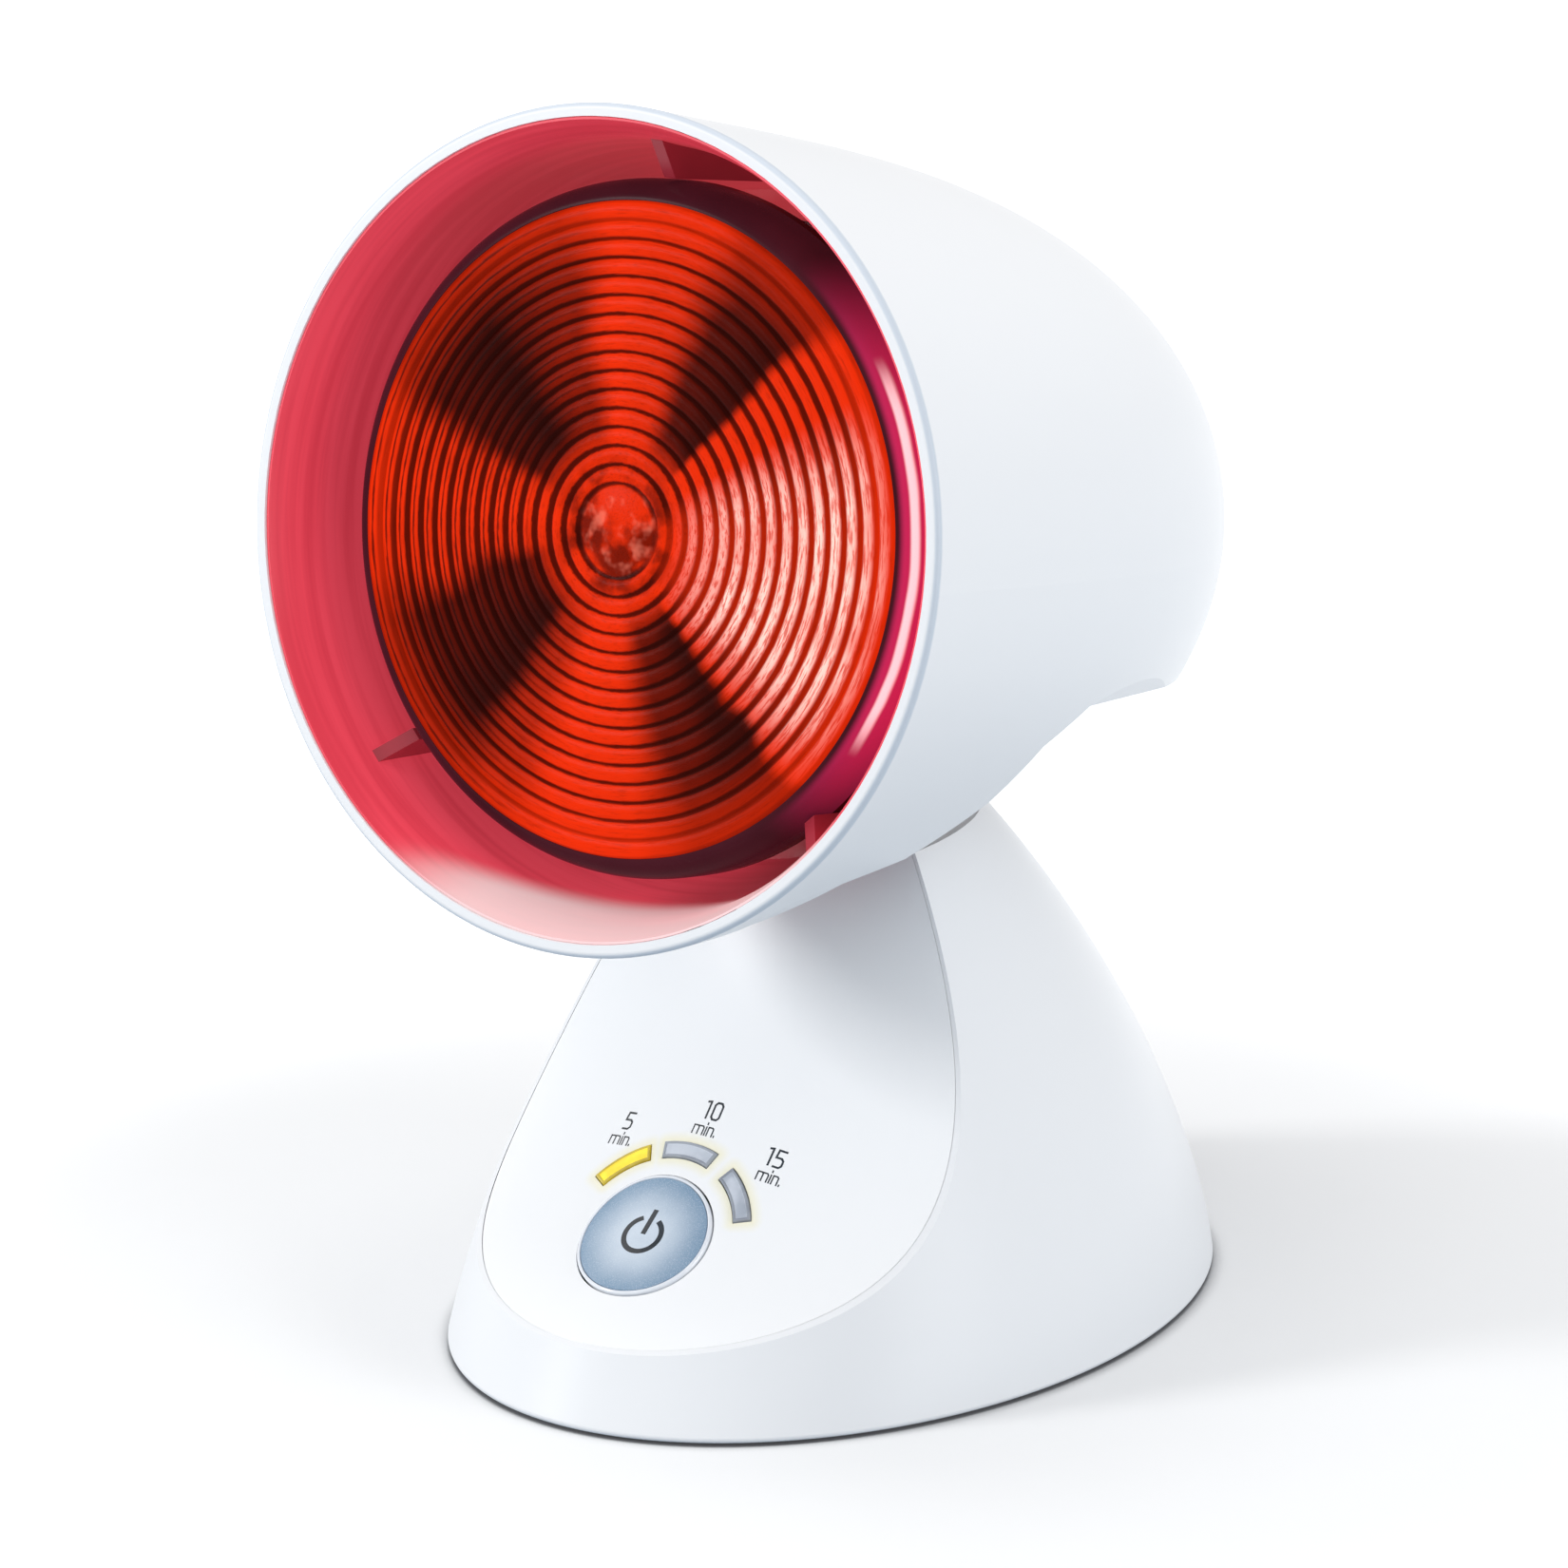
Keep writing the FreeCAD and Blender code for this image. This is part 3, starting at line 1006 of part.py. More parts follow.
def holder_ring():
    """Ring on the holder's front that clamps the plate against its flange."""
    front = HOLDER_PLATE_DEPTH - HOLDER_RING_THICK
    points = [(HOLDER_RADIUS + PRESS, front), (HOLDER_RING_RADIUS - 1, front),
              (HOLDER_RING_RADIUS, front + 1), (HOLDER_RING_RADIUS, HOLDER_PLATE_DEPTH),
              (HOLDER_RADIUS + PRESS, HOLDER_PLATE_DEPTH)]
    return to_head(spun_polygon(points))


def holder_sleeve():
    """Brass shell and floor contact that the screw cap turns into."""
    inner = CAP_RADIUS + SLIP
    front = HOLDER_FRONT + 2.5
    floor = HOLDER_FLOOR
    contact = CAP_BACK + TIP_LENGTH + SLIP
    return to_head(spun_polygon([(inner, front), (inner + SLEEVE_WALL, front), (inner + SLEEVE_WALL, floor),
                                 (0, floor), (0, contact), (CONTACT_RADIUS, contact),
                                 (CONTACT_RADIUS, floor - CONTACT_FLOOR), (inner, floor - CONTACT_FLOOR)]))


def holder_plate():
    """Steel plate with three arms that carries the lampholder."""
    along = V(0, 1, 0)
    at = V(0, HOLDER_PLATE_DEPTH, 0)
    plate = Part.makeCylinder(HOLDER_PLATE_RADIUS, HOLDER_PLATE_THICK, at, along)
    reach = ARM_RADIUS + BOSS_RADIUS
    for angle in ARM_ANGLES:
        arm = Part.makeBox(reach, HOLDER_PLATE_THICK, ARM_WIDTH, V(0, HOLDER_PLATE_DEPTH, -ARM_WIDTH / 2))
        corners = [e for e in arm.Edges if abs(e.tangentAt(0).y) > 0.9 and e.BoundBox.XMin > 1]
        arm = arm.makeFillet(ARM_CORNER, corners)
        plate = plate.fuse(arm.rotated(V(0, 0, 0), along, -angle))
    plate = plate.cut(Part.makeCylinder(HOLDER_RADIUS + SLIP, HOLDER_PLATE_THICK, at, along))
    for angle in ARM_ANGLES:
        _, boss_at = holder_boss(angle)
        hole_at = boss_at - along * HOLDER_PLATE_THICK
        plate = plate.cut(Part.makeCylinder(M3_RADIUS + GAP, HOLDER_PLATE_THICK, hole_at, along))
    for i in range(PLATE_VENT_COUNT):
        vent_at = V(PLATE_VENT_CIRCLE, HOLDER_PLATE_DEPTH, 0)
        vent = Part.makeCylinder(PLATE_VENT_RADIUS, HOLDER_PLATE_THICK, vent_at, along)
        plate = plate.cut(vent.rotated(V(0, 0, 0), along, 360.0 * (i + 0.5) / PLATE_VENT_COUNT))
    return to_head(plate.removeSplitter())


def holder_screw(angle):
    _, boss_at = holder_boss(angle)
    screw = pan_screw(HOLDER_PLATE_THICK + HOLDER_SCREW_BITE).rotated(V(0, 0, 0), V(1, 0, 0), 90)
    return to_head(screw.translated(boss_at - V(0, HOLDER_PLATE_THICK, 0)))


# ================================================================ leads
def behind_board(x, up, gap):
    """Point at a distance behind the timer board."""
    return tuple(FACE_FRAME.multVec(V(x, up, -BOARD_DEPTH - BOARD_THICK - gap)))


TERMINAL_FRONT = TERMINAL_Y - TERMINAL_SIZE[1] / 2 - LEAD_END_GAP
SUPPLY_ROUTE = ((8.0, TERMINAL_FRONT, 12.0), (8.0, TERMINAL_FRONT - 19.8, 10.6), (8.0, 3.0, 12.0),
                behind_board(8.0, 26.0, 14.0), behind_board(8.0, 26.0, GAP))
LAMP_ROUTE_FOOT = (behind_board(-12.0, 28.0, GAP), behind_board(-12.0, 28.0, 12.0), (-8.0, -3.0, 38.0),
                   (-1.0, 4.0, 59.0), (4.0, 5.0, 81.0), (4.0, PIVOT_Y, PIVOT_Z),
                   (LEAD_SPLIT_X, PIVOT_Y, PIVOT_Z))
LAMP_ROUTE_HEAD = ((LEAD_SPLIT_X, PIVOT_DEPTH, -PIVOT_DROP), (-26.0, PIVOT_DEPTH, -PIVOT_DROP),
                   (-25.5, 108.0, -36.5), (-14.0, 128.0, -27.5), (-7.0, 141.0, -20.3))


def main():
    os.makedirs("parts", exist_ok=True)
    face = in_front_of_face(0.0)
    panel_back = in_front_of_face(PANEL_THICK)
    save(housing(face, panel_back), "base_housing")
    save(front_panel(face, in_front_of_face(PANEL_THICK - GAP)), "front_panel")
    save(power_button(in_front_of_face(-BUTTON_PROUD)), "power_button")
    window_top = in_front_of_face(-WINDOW_PROUD)
    for name in WINDOW_ANGLES:
        save(window(name, window_top), "window_" + name)
        save(led(name), "led_" + name)
    save(tact_switch(), "tact_switch")
    save(switch_plunger(), "switch_plunger")
    save(timer_board(), "timer_board")
    save(back_part(RELAY_SIZE, RELAY_PLACE), "relay")
    save(base_plate(), "base_plate")
    for number, place in enumerate(PAD_PLACES, 1):
        save(rubber_foot(*place), "rubber_foot_%d" % number)
    for number, place in enumerate(POST_PLACES, 1):
        save(base_screw(*place), "base_screw_%d" % number)
    save(cord_gland(), "cord_gland")
    save(terminal_block(), "terminal_block")
    save(pivot_post(), "pivot_post")
    save(pivot_pin(1), "pivot_pin")
    hollow = Part.makeCylinder(TUBE_BORE, 2 * PIN_END_X, V(-2 * PIN_END_X, PIVOT_Y, PIVOT_Z), V(1, 0, 0))
    save(pivot_pin(-1).cut(hollow), "pivot_tube")
    save(lead(SUPPLY_ROUTE, "supply_lead"), "supply_lead")
    save(lead(LAMP_ROUTE_FOOT, "lamp_lead_foot"), "lamp_lead_foot")
    save(to_head(lead(LAMP_ROUTE_HEAD, "lamp_lead_head")), "lamp_lead_head")
    for side, word in ((-1, "left"), (1, "right")):
        save(board_screw(side), "board_screw_" + word)
        save(post_screw(side), "post_screw_" + word)
        washer = side_ring(side, WASHER_X, WASHER_THICK, WASHER_RADIUS, PIN_RADIUS + RUNNING)
        save(washer, "friction_washer_" + word)
        clip = side_ring(side, CLIP_X, CLIP_THICK, CLIP_RADIUS, PIN_RADIUS - PIN_GROOVE + RUNNING)
        save(clip, "pivot_clip_" + word)
        save(tilt_bracket(side), "tilt_bracket_" + word)
        save(bracket_screw(side), "bracket_screw_" + word)
    save(head_shell(), "head_shell")
    save(head_cowl(), "head_cowl")
    save(vent_cap(), "vent_cap")
    save(shade_liner(), "shade_liner")
    for number, angle in enumerate(FIN_ANGLES, 1):
        save(centring_fin(angle), "centring_fin_%d" % number)
    save(bulb_lens(), "bulb_lens")
    save(bulb_bowl(), "bulb_bowl")
    save(bulb_cap(), "bulb_cap")
    save(lampholder(), "lampholder")
    save(holder_sleeve(), "holder_sleeve")
    save(holder_ring(), "holder_ring")
    save(holder_plate(), "holder_plate")
    for number, angle in enumerate(ARM_ANGLES, 1):
        save(holder_screw(angle), "holder_screw_%d" % number)


main()
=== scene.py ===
# %% [markdown]
# # A tabletop infrared lamp
# The real object is a heat lamp for the face and neck. A round head holds a
# red glass bulb with a ribbed front, and nods on a pivot that hides in a
# sculpted foot. The foot's sloping face carries one timer button, three light
# windows and their minute figures.
# The solids come ready made, with their joints, and this lesson dresses them.
# Plain mouldings keep their solid and get a finish. Pieces whose charm is in
# small relief, such as the ribbed glass, are turned again with more detail.
# Everything is in metres, +Z is up and the lamp shines towards -Y.

# %% Load the solids
import bpy
import json
import math
from mathutils import Matrix, Vector
from mathutils.bvhtree import BVHTree


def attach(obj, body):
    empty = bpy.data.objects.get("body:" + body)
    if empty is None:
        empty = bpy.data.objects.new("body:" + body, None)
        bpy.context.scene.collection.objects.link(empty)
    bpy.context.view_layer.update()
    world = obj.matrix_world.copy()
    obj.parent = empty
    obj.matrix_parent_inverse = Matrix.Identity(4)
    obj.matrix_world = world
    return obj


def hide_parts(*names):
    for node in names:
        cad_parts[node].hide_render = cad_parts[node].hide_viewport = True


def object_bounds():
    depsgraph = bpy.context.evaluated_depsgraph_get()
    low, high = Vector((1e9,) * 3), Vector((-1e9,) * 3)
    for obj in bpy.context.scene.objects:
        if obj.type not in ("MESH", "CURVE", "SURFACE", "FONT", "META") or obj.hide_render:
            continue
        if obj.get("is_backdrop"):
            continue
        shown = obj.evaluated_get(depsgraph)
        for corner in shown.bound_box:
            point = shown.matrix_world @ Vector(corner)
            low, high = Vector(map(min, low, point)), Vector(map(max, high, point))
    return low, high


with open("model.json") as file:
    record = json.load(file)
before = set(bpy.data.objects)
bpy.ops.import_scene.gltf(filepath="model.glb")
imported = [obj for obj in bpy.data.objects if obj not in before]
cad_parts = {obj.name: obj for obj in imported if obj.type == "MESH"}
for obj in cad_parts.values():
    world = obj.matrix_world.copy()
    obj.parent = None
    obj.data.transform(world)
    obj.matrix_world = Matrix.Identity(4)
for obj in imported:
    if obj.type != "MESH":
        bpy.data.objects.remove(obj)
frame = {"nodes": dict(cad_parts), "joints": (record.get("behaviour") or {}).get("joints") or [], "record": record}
cad_box = [list(corner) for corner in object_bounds()]
print("box of the solids:", [[round(v, 4) for v in corner] for corner in cad_box])

# %% [markdown]
# ## Three places to measure from
# A maker works in the piece's own directions, not the room's. The head's
# pieces are round about the head's axis, which looks up by ten degrees, so
# they are turned in a frame that has its origin in the middle of the rim. The
# controls lie on a slope, so they are drawn on a flat sheet whose origin is
# the button's middle. A matrix carries each frame to its place on the lamp.

# %% The head's frame and the face's frame
MM = 0.001
PIVOT = Vector((0.0, 5.0, 103.0)) * MM
RIM_TO_PIVOT = Vector((0.0, 87.5, -41.3)) * MM
HEAD_TILT = math.radians(-10.0)
head_turn = Matrix.Rotation(HEAD_TILT, 4, "X")
HEAD = Matrix.Translation(PIVOT) @ head_turn @ Matrix.Translation(-RIM_TO_PIVOT)

press = next(joint for joint in frame["joints"] if joint["name"] == "button_press")
OUT = -Vector(press["axis"]).normalized()       # out of the sloping face
ACROSS = Vector((1.0, 0.0, 0.0))
UP_FACE = OUT.cross(ACROSS)                     # up the slope
BUTTON_CENTRE = Vector((0.0, -58.38, 27.7)) * MM
print("rim's middle:", [round(v, 4) for v in HEAD.translation])
print("the face leans back by", round(math.degrees(math.acos(OUT.z)), 1), "degrees")

# %% [markdown]
# ## Camera
# A long lens from a little over a metre keeps a small object free of the
# bulging that a near, wide lens gives. The camera stands to the lamp's right
# and slightly above it, so that the ribbed glass, the hood's long flank and
# the controls all show at once. Depth of field stays off, so every detail is
# sharp from any side.

# %% Set up the camera
CAMERA_TURN = math.radians(36.1)
CAMERA_RISE = math.radians(16.2)
CAMERA_REACH = 1.2065
SENSOR_WIDTH = 36.0             # millimetres, as is the focal length
FOCAL_LENGTH = 152.7
LOOK_AT = Vector((-12.0, 0.0, 95.1)) * MM

towards_camera = Vector((math.sin(CAMERA_TURN) * math.cos(CAMERA_RISE),
                         -math.cos(CAMERA_TURN) * math.cos(CAMERA_RISE),
                         math.sin(CAMERA_RISE)))
lens = bpy.data.cameras.new("studio_camera")
lens.sensor_width = SENSOR_WIDTH
lens.lens = FOCAL_LENGTH
lens.clip_start = 0.05
camera = bpy.data.objects.new("studio_camera", lens)
camera.location = LOOK_AT + towards_camera * CAMERA_REACH
camera.rotation_euler = towards_camera.to_track_quat("Z", "Y").to_euler()
bpy.context.scene.collection.objects.link(camera)
bpy.context.scene.camera = camera
bpy.context.scene.view_settings.view_transform = "Standard"
print("camera at", [round(v, 3) for v in camera.location], "with a", FOCAL_LENGTH, "mm lens")

# %% [markdown]
# ## Building finishes from nodes
# Each finish is a small network of shader nodes. What flows between two nodes
# is a number or a colour for every point of the surface. Here it is wrapped
# in a small class, so that plus, minus and times add the arithmetic node by
# themselves, and a network of thirty nodes reads like a few lines of school
# maths. One helper adds any node, and another plugs in plain values or
# signals, so that both look the same in a recipe.

# %% Signals between nodes
class Signal:
    """What comes out of a node, a number or colour for each point of a surface."""

    def __init__(self, socket):
        self.socket = socket
        self.tree = socket.id_data

    def apply(self, operation, other=0.0):
        """Result of one arithmetic step that has this signal first."""
        return made(self.tree, "ShaderNodeMath", {0: self, 1: other}, operation=operation)

    def __add__(self, other):
        return self.apply("ADD", other)

    def __sub__(self, other):
        return self.apply("SUBTRACT", other)

    def __rsub__(self, other):
        return made(self.tree, "ShaderNodeMath", {0: other, 1: self}, operation="SUBTRACT")

    def __mul__(self, other):
        return self.apply("MULTIPLY", other)

    def __truediv__(self, other):
        return self.apply("DIVIDE", other)


def plug(node, inputs):
    """Give a node's sockets, by name or number, plain values or signals."""
    for name, value in inputs.items():
        if isinstance(value, Signal):
            node.id_data.links.new(value.socket, node.inputs[name])
        else:
            node.inputs[name].default_value = value


def add(tree, kind, inputs, **settings):
    """Add a node."""
    node = tree.nodes.new(kind)
    for name, value in settings.items():
        setattr(node, name, value)
    plug(node, inputs)
    return node


def made(tree, kind, inputs, which=0, **settings):
    """Signal that a new node makes from its inputs."""
    return Signal(add(tree, kind, inputs, **settings).outputs[which])


# %% [markdown]
# The same few steps come back in every recipe: a smooth step from one level
# to another, a cloudy pattern, a colour between two others, and relief. They
# get a helper each. The last one starts a finish and gives the coordinates of
# the piece itself, so that a pattern stays on the piece when it moves.

# %% Patterns, colours and relief
def ramp(signal, low, high, start=0.0, end=1.0):
    """Smooth step: start below low, end above high."""
    inputs = {0: signal, 1: low, 2: high, 3: start, 4: end}
    return made(signal.tree, "ShaderNodeMapRange", inputs, interpolation_type="SMOOTHSTEP")


def noise(where, scale, detail=2.0, roughness=0.5):
    """Cloudy pattern from 0 to 1 at a scale in features per metre."""
    inputs = {"Vector": where, "Scale": scale, "Detail": detail, "Roughness": roughness}
    return made(where.tree, "ShaderNodeTexNoise", inputs)


def stretched(where, stretch):
    """Coordinates in which a pattern is drawn out to strands."""
    return made(where.tree, "ShaderNodeMapping", {"Vector": where, "Scale": stretch})


def vector_step(operation, a, b=(0.0, 0.0, 0.0)):
    """Result of one step on places: a place, or a number for lengths and dot products."""
    is_number = operation in ("LENGTH", "DOT_PRODUCT")
    return made(a.tree, "ShaderNodeVectorMath", {0: a, 1: b},
                "Value" if is_number else "Vector", operation=operation)


def diagonal(a, b):
    """Length of the diagonal over two sides."""
    return (a * a + b * b).apply("SQRT")


def mixed(share, a, b):
    """Colour between a and b."""
    tree = next(value.tree for value in (share, a, b) if isinstance(value, Signal))
    return made(tree, "ShaderNodeMix", {0: share, 6: a, 7: b}, 2, data_type="RGBA")


def relief(shader, height, depth, strength):
    """Tiny surface relief from a pattern, depth in metres."""
    inputs = {"Height": height, "Distance": depth, "Strength": strength}
    plug(shader, {"Normal": made(height.tree, "ShaderNodeBump", inputs)})


finishes = {}


def start_finish(name):
    """Main shader of a new finish, and the coordinates of the piece that wears it."""
    finish = bpy.data.materials.new(name)
    finish.use_nodes = True
    finishes[name] = finish
    tree = finish.node_tree
    return tree.nodes["Principled BSDF"], made(tree, "ShaderNodeTexCoord", {}, "Object")


# %% [markdown]
# ## Moulded white plastic
# The foot and the hood are injection moulded and highly polished, in a white
# with a trace of blue. Real mouldings are never one flat colour: the polymer
# flows unevenly, and the tool's texture breaks the gloss. A slow, faint cloud
# of two near whites gives the first, and a fine grain in roughness and relief
# gives the second. The cowl, the base plate and the vent cap come from a
# duller tool, so the same recipe runs with more roughness.

# %% White mouldings
FLOW_SCALE = 14.0               # features per metre
PATCH_SCALE = 35.0
MOULDING_GLOSS = 0.22


def moulded(name, light, dark, roughness, grain=700.0, grain_depth=0.000006):
    """Moulded plastic; gives its shader, coordinates and colour for further work."""
    shader, where = start_finish(name)
    colour = mixed(noise(where, FLOW_SCALE, 3.0), light, dark)
    patches = noise(where, PATCH_SCALE)
    uneven = ramp(patches, 0.3, 0.7, roughness * 0.95, roughness * 1.08)
    plug(shader, {"Base Color": colour, "Roughness": uneven, "Specular IOR Level": MOULDING_GLOSS})
    relief(shader, noise(where, grain), grain_depth, 0.35)
    return shader, where, colour


moulded("cowl_white", (0.880, 0.886, 0.898, 1), (0.862, 0.869, 0.882, 1), 0.45,
        grain=1100.0, grain_depth=0.00002)
moulded("black_plastic", (0.030, 0.030, 0.034, 1), (0.018, 0.018, 0.021, 1), 0.45)
moulded("terminal_ivory", (0.72, 0.68, 0.55, 1), (0.62, 0.58, 0.46, 1), 0.4)
print("moulded finishes:", sorted(finishes))

# %% [markdown]
# A white shade on a white ground loses its edge. A thin grey-blue line of
# painted shade round the outer edge of the shade's mouth keeps it legible.
# It is part of the shell's finish: from the rim's middle, the finish works
# out how far back and how far from the head's axis a point lies, and tints
# the narrow band where both are right.

# %% White shell with a painted shade line on the shade's edge
EDGE_RADIUS = (71.5 * MM, 72.0 * MM)    # the line fades in between these
EDGE_DEPTH = (1.7 * MM, 0.9 * MM)       # and these, behind the rim
EDGE_SHARE = 0.65

shader, where, white = moulded("shell_white", (0.900, 0.905, 0.915, 1),
                               (0.888, 0.894, 0.906, 1), 0.32)
behind_rim = HEAD.to_3x3() @ Vector((0.0, 1.0, 0.0))
from_rim = vector_step("SUBTRACT", where, HEAD.translation)
depth = vector_step("DOT_PRODUCT", from_rim, behind_rim)
length = vector_step("LENGTH", from_rim)
from_axis = (length * length - depth * depth).apply("SQRT")
# painted shade: a grey-blue line round the outer edge of the shade's mouth
edge_shade_line = ramp(from_axis, *EDGE_RADIUS) * ramp(depth, *EDGE_DEPTH)
plug(shader, {"Base Color": mixed(edge_shade_line * EDGE_SHARE, white, (0.50, 0.58, 0.68, 1))})
print("nodes in the white shell's finish:", len(where.tree.nodes))

# %% [markdown]
# ## Rubber, fibre and silicone
# The pads under the foot, the grommet, the friction discs and the sleeved
# leads are all soft and dull, yet each dullness differs. Rubber has a fine
# matt bloom, pressed fibre is flecked with its own strands, and silicone is
# smooth with a little sheen. The strands are a noise that is stretched in one
# direction, which is also how wood or brushed metal is made.

# %% Soft finishes
def soft_finish(name, light, dark, roughness, stretch, scale, depth):
    """Dull finish with flecks that are drawn out by a stretch."""
    shader, where = start_finish(name)
    flecks = noise(stretched(where, stretch), scale, 4.0, 0.65)
    plug(shader, {"Base Color": mixed(ramp(flecks, 0.35, 0.65), light, dark),
                  "Roughness": roughness, "Sheen Weight": 0.15})
    relief(shader, flecks, depth, 0.6)


soft_finish("rubber_grey", (0.055, 0.056, 0.060, 1), (0.030, 0.031, 0.034, 1), 0.75,
            (1, 1, 1), 1400.0, 0.00004)
soft_finish("washer_fibre", (0.120, 0.075, 0.045, 1), (0.055, 0.032, 0.020, 1), 0.85,
            (1, 6, 1), 500.0, 0.00008)
soft_finish("lead_silicone", (0.420, 0.035, 0.022, 1), (0.300, 0.022, 0.015, 1), 0.40,
            (1, 1, 1), 260.0, 0.00003)
print("finishes so far:", len(finishes))

# %% [markdown]
# ## Metals, ceramic and board
# Inside the lamp there is sheet steel with a zinc bloom, a rolled aluminium
# screw cap, a brass contact shell, a glazed ceramic holder and a green
# circuit board. Few of them show, but a lamp that is opened or turned over
# must still look right. Metal is the same noise trick with the metallic
# value up; the glaze is a smooth coat over a slightly speckled body; and the
# board shows a woven glass grid under its green lacquer.

# %% Metal finishes
def metal(name, bright, dull, roughness, stretch):
    """Metal with a cloudy bloom and fine scratches along a stretch."""
    shader, where = start_finish(name)
    scratches = noise(stretched(where, stretch), 420.0, 4.0, 0.6)
    bloom = noise(where, 120.0, 3.0)
    plug(shader, {"Base Color": mixed(bloom, bright, dull), "Metallic": 1.0,
                  "Roughness": ramp(scratches, 0.3, 0.7, roughness * 0.7, roughness * 1.3)})
    relief(shader, scratches, 0.00001, 0.4)


metal("steel", (0.64, 0.65, 0.67, 1), (0.46, 0.48, 0.50, 1), 0.34, (1, 1, 12))
metal("cap_metal", (0.82, 0.82, 0.83, 1), (0.66, 0.66, 0.68, 1), 0.25, (1, 10, 1))
metal("brass", (0.78, 0.58, 0.25, 1), (0.60, 0.40, 0.15, 1), 0.30, (1, 10, 1))
print("finishes so far:", len(finishes))

# %% Glazed ceramic and circuit board
shader, where = start_finish("ceramic")
specks = ramp(noise(where, 900.0), 0.60, 0.72)
plug(shader, {"Base Color": mixed(specks, (0.82, 0.79, 0.72, 1), (0.55, 0.48, 0.38, 1)),
              "Roughness": 0.35, "Coat Weight": 0.8, "Coat Roughness": 0.05})
relief(shader, noise(where, 160.0), 0.00008, 0.4)

shader, where = start_finish("board_green")
weave = made(where.tree, "ShaderNodeTexBrick",
             {"Vector": where, "Scale": 500.0, "Color1": (0.020, 0.120, 0.045, 1),
              "Color2": (0.028, 0.150, 0.060, 1), "Mortar": (0.012, 0.075, 0.030, 1)}, offset=0.5)
lacquer = noise(where, 60.0)
plug(shader, {"Base Color": mixed(lacquer * 0.5, weave, (0.010, 0.090, 0.040, 1)),
              "Roughness": 0.32})
relief(shader, lacquer, 0.00004, 0.3)
print("finishes so far:", len(finishes))

# %% [markdown]
# ## The reds
# An infrared bulb is made of glass that lets only deep red and heat through.
# Its mirrored bowl throws bright and dark wedges on the ribbed front, because
# the filament's posts stand in the way. Tracing that light through real glass
# takes long and comes out noisy, so the front is an opaque red that glows,
# and its wedges are drawn by angle round the bulb's axis, in the piece's own
# coordinates. A little noise in the angle makes the wedges' sides ragged.

# %% Wedges of light on the ribbed glass
HUB = 8.1                       # radius of the hub inside the first rib, in millimetres
RIB_PITCH = 3.2                 # from rib to rib


def round_the_axis(where):
    """Distance from the head's axis, angle round it and depth behind the rim."""
    side, depth, up = [Signal(socket) for socket in
                       add(where.tree, "ShaderNodeSeparateXYZ", {0: where}).outputs]
    return diagonal(side, up), up.apply("ARCTAN2", side), depth


def sweep(along, angle, reach):
    """Coordinates for a pattern that is drawn out round the axis, with no seam."""
    return made(angle.tree, "ShaderNodeCombineXYZ", {
        0: along, 1: angle.apply("COSINE") * reach, 2: angle.apply("SINE") * reach})


# angle in degrees (0 is right, 90 is up) and brightness of the mirrored bowl there
WEDGES = ((-180, 1.0), (-166, 0.85), (-153, 0.10), (-126, 0.02), (-111, 0.50), (-96, 1.0),
          (-80, 0.95), (-64, 0.14), (-47, 0.02), (-42, 0.90), (0, 1.0), (42, 0.95),
          (47, 0.03), (64, 0.08), (80, 0.85), (98, 1.0), (112, 0.30), (136, 0.02),
          (155, 0.08), (168, 0.85), (180, 1.0))

glass_shader, where = start_finish("bulb_glass_red")
radius, angle, _ = round_the_axis(where)
wobble = (noise(where, 45.0) - 0.5) * 0.35
turn = (angle + wobble) / (2 * math.pi) + 0.5
sectors = add(where.tree, "ShaderNodeValToRGB", {0: turn})
sectors.color_ramp.interpolation = "EASE"
while len(sectors.color_ramp.elements) < len(WEDGES):
    sectors.color_ramp.elements.new(0.5)
for element, (degrees, bright) in zip(sectors.color_ramp.elements, WEDGES):
    element.position = (degrees + 180) / 360
    element.color = (bright, bright, bright, 1)
print("wedge stops:", len(WEDGES))

# %% [markdown]
# Between two ribs lies a groove, darkened with painted shade. A ring number,
# counted outwards from the hub, says where on its rib a point lies, and
# everything past a certain distance from the crest is groove. Fine striae, a
# noise that is drawn out round the axis, fray the groove's sides. The grooves
# are wider at left and right than above and below, and weaker at the hub,
# towards the bead and on the right. On the left a finer dark line of painted
# shade runs along each crest as well.

# %% Grooves between the ribs
ring = (radius - HUB * MM) / (RIB_PITCH * MM)
across_rib = ring.apply("FRACT")
from_crest = (across_rib - 0.5).apply("ABSOLUTE") * 2.0
striae = noise(sweep(radius * 2600.0, angle, 12.0), 1.0, 3.0, 0.6)
cosine = angle.apply("COSINE")
right_side = ramp((angle + 0.10).apply("COSINE"), 0.78, 0.98)
left_side = ramp(cosine, -0.15, -0.75)

# painted shade in the grooves between the ribs
groove_start = 0.88 - cosine.apply("ABSOLUTE") * 0.28
groove_shade = ramp(from_crest + striae * 0.36 - groove_start, 0.0, 0.26)
groove_shade = groove_shade * ramp(radius, 7.0 * MM, 8.2 * MM)
groove_shade = groove_shade * ramp(radius, 55.5 * MM, 48.0 * MM, 0.30, 1.0)
groove_shade = groove_shade * (1.0 - right_side * 0.45)
# painted shade: a fine dark line along each crest on the left
crest_shade = ramp(from_crest + striae * 0.4, 0.42, 0.22)
crest_shade = crest_shade * left_side * ramp(radius, 14.0 * MM, 26.0 * MM)
print("grooves repeat every", RIB_PITCH, "mm")
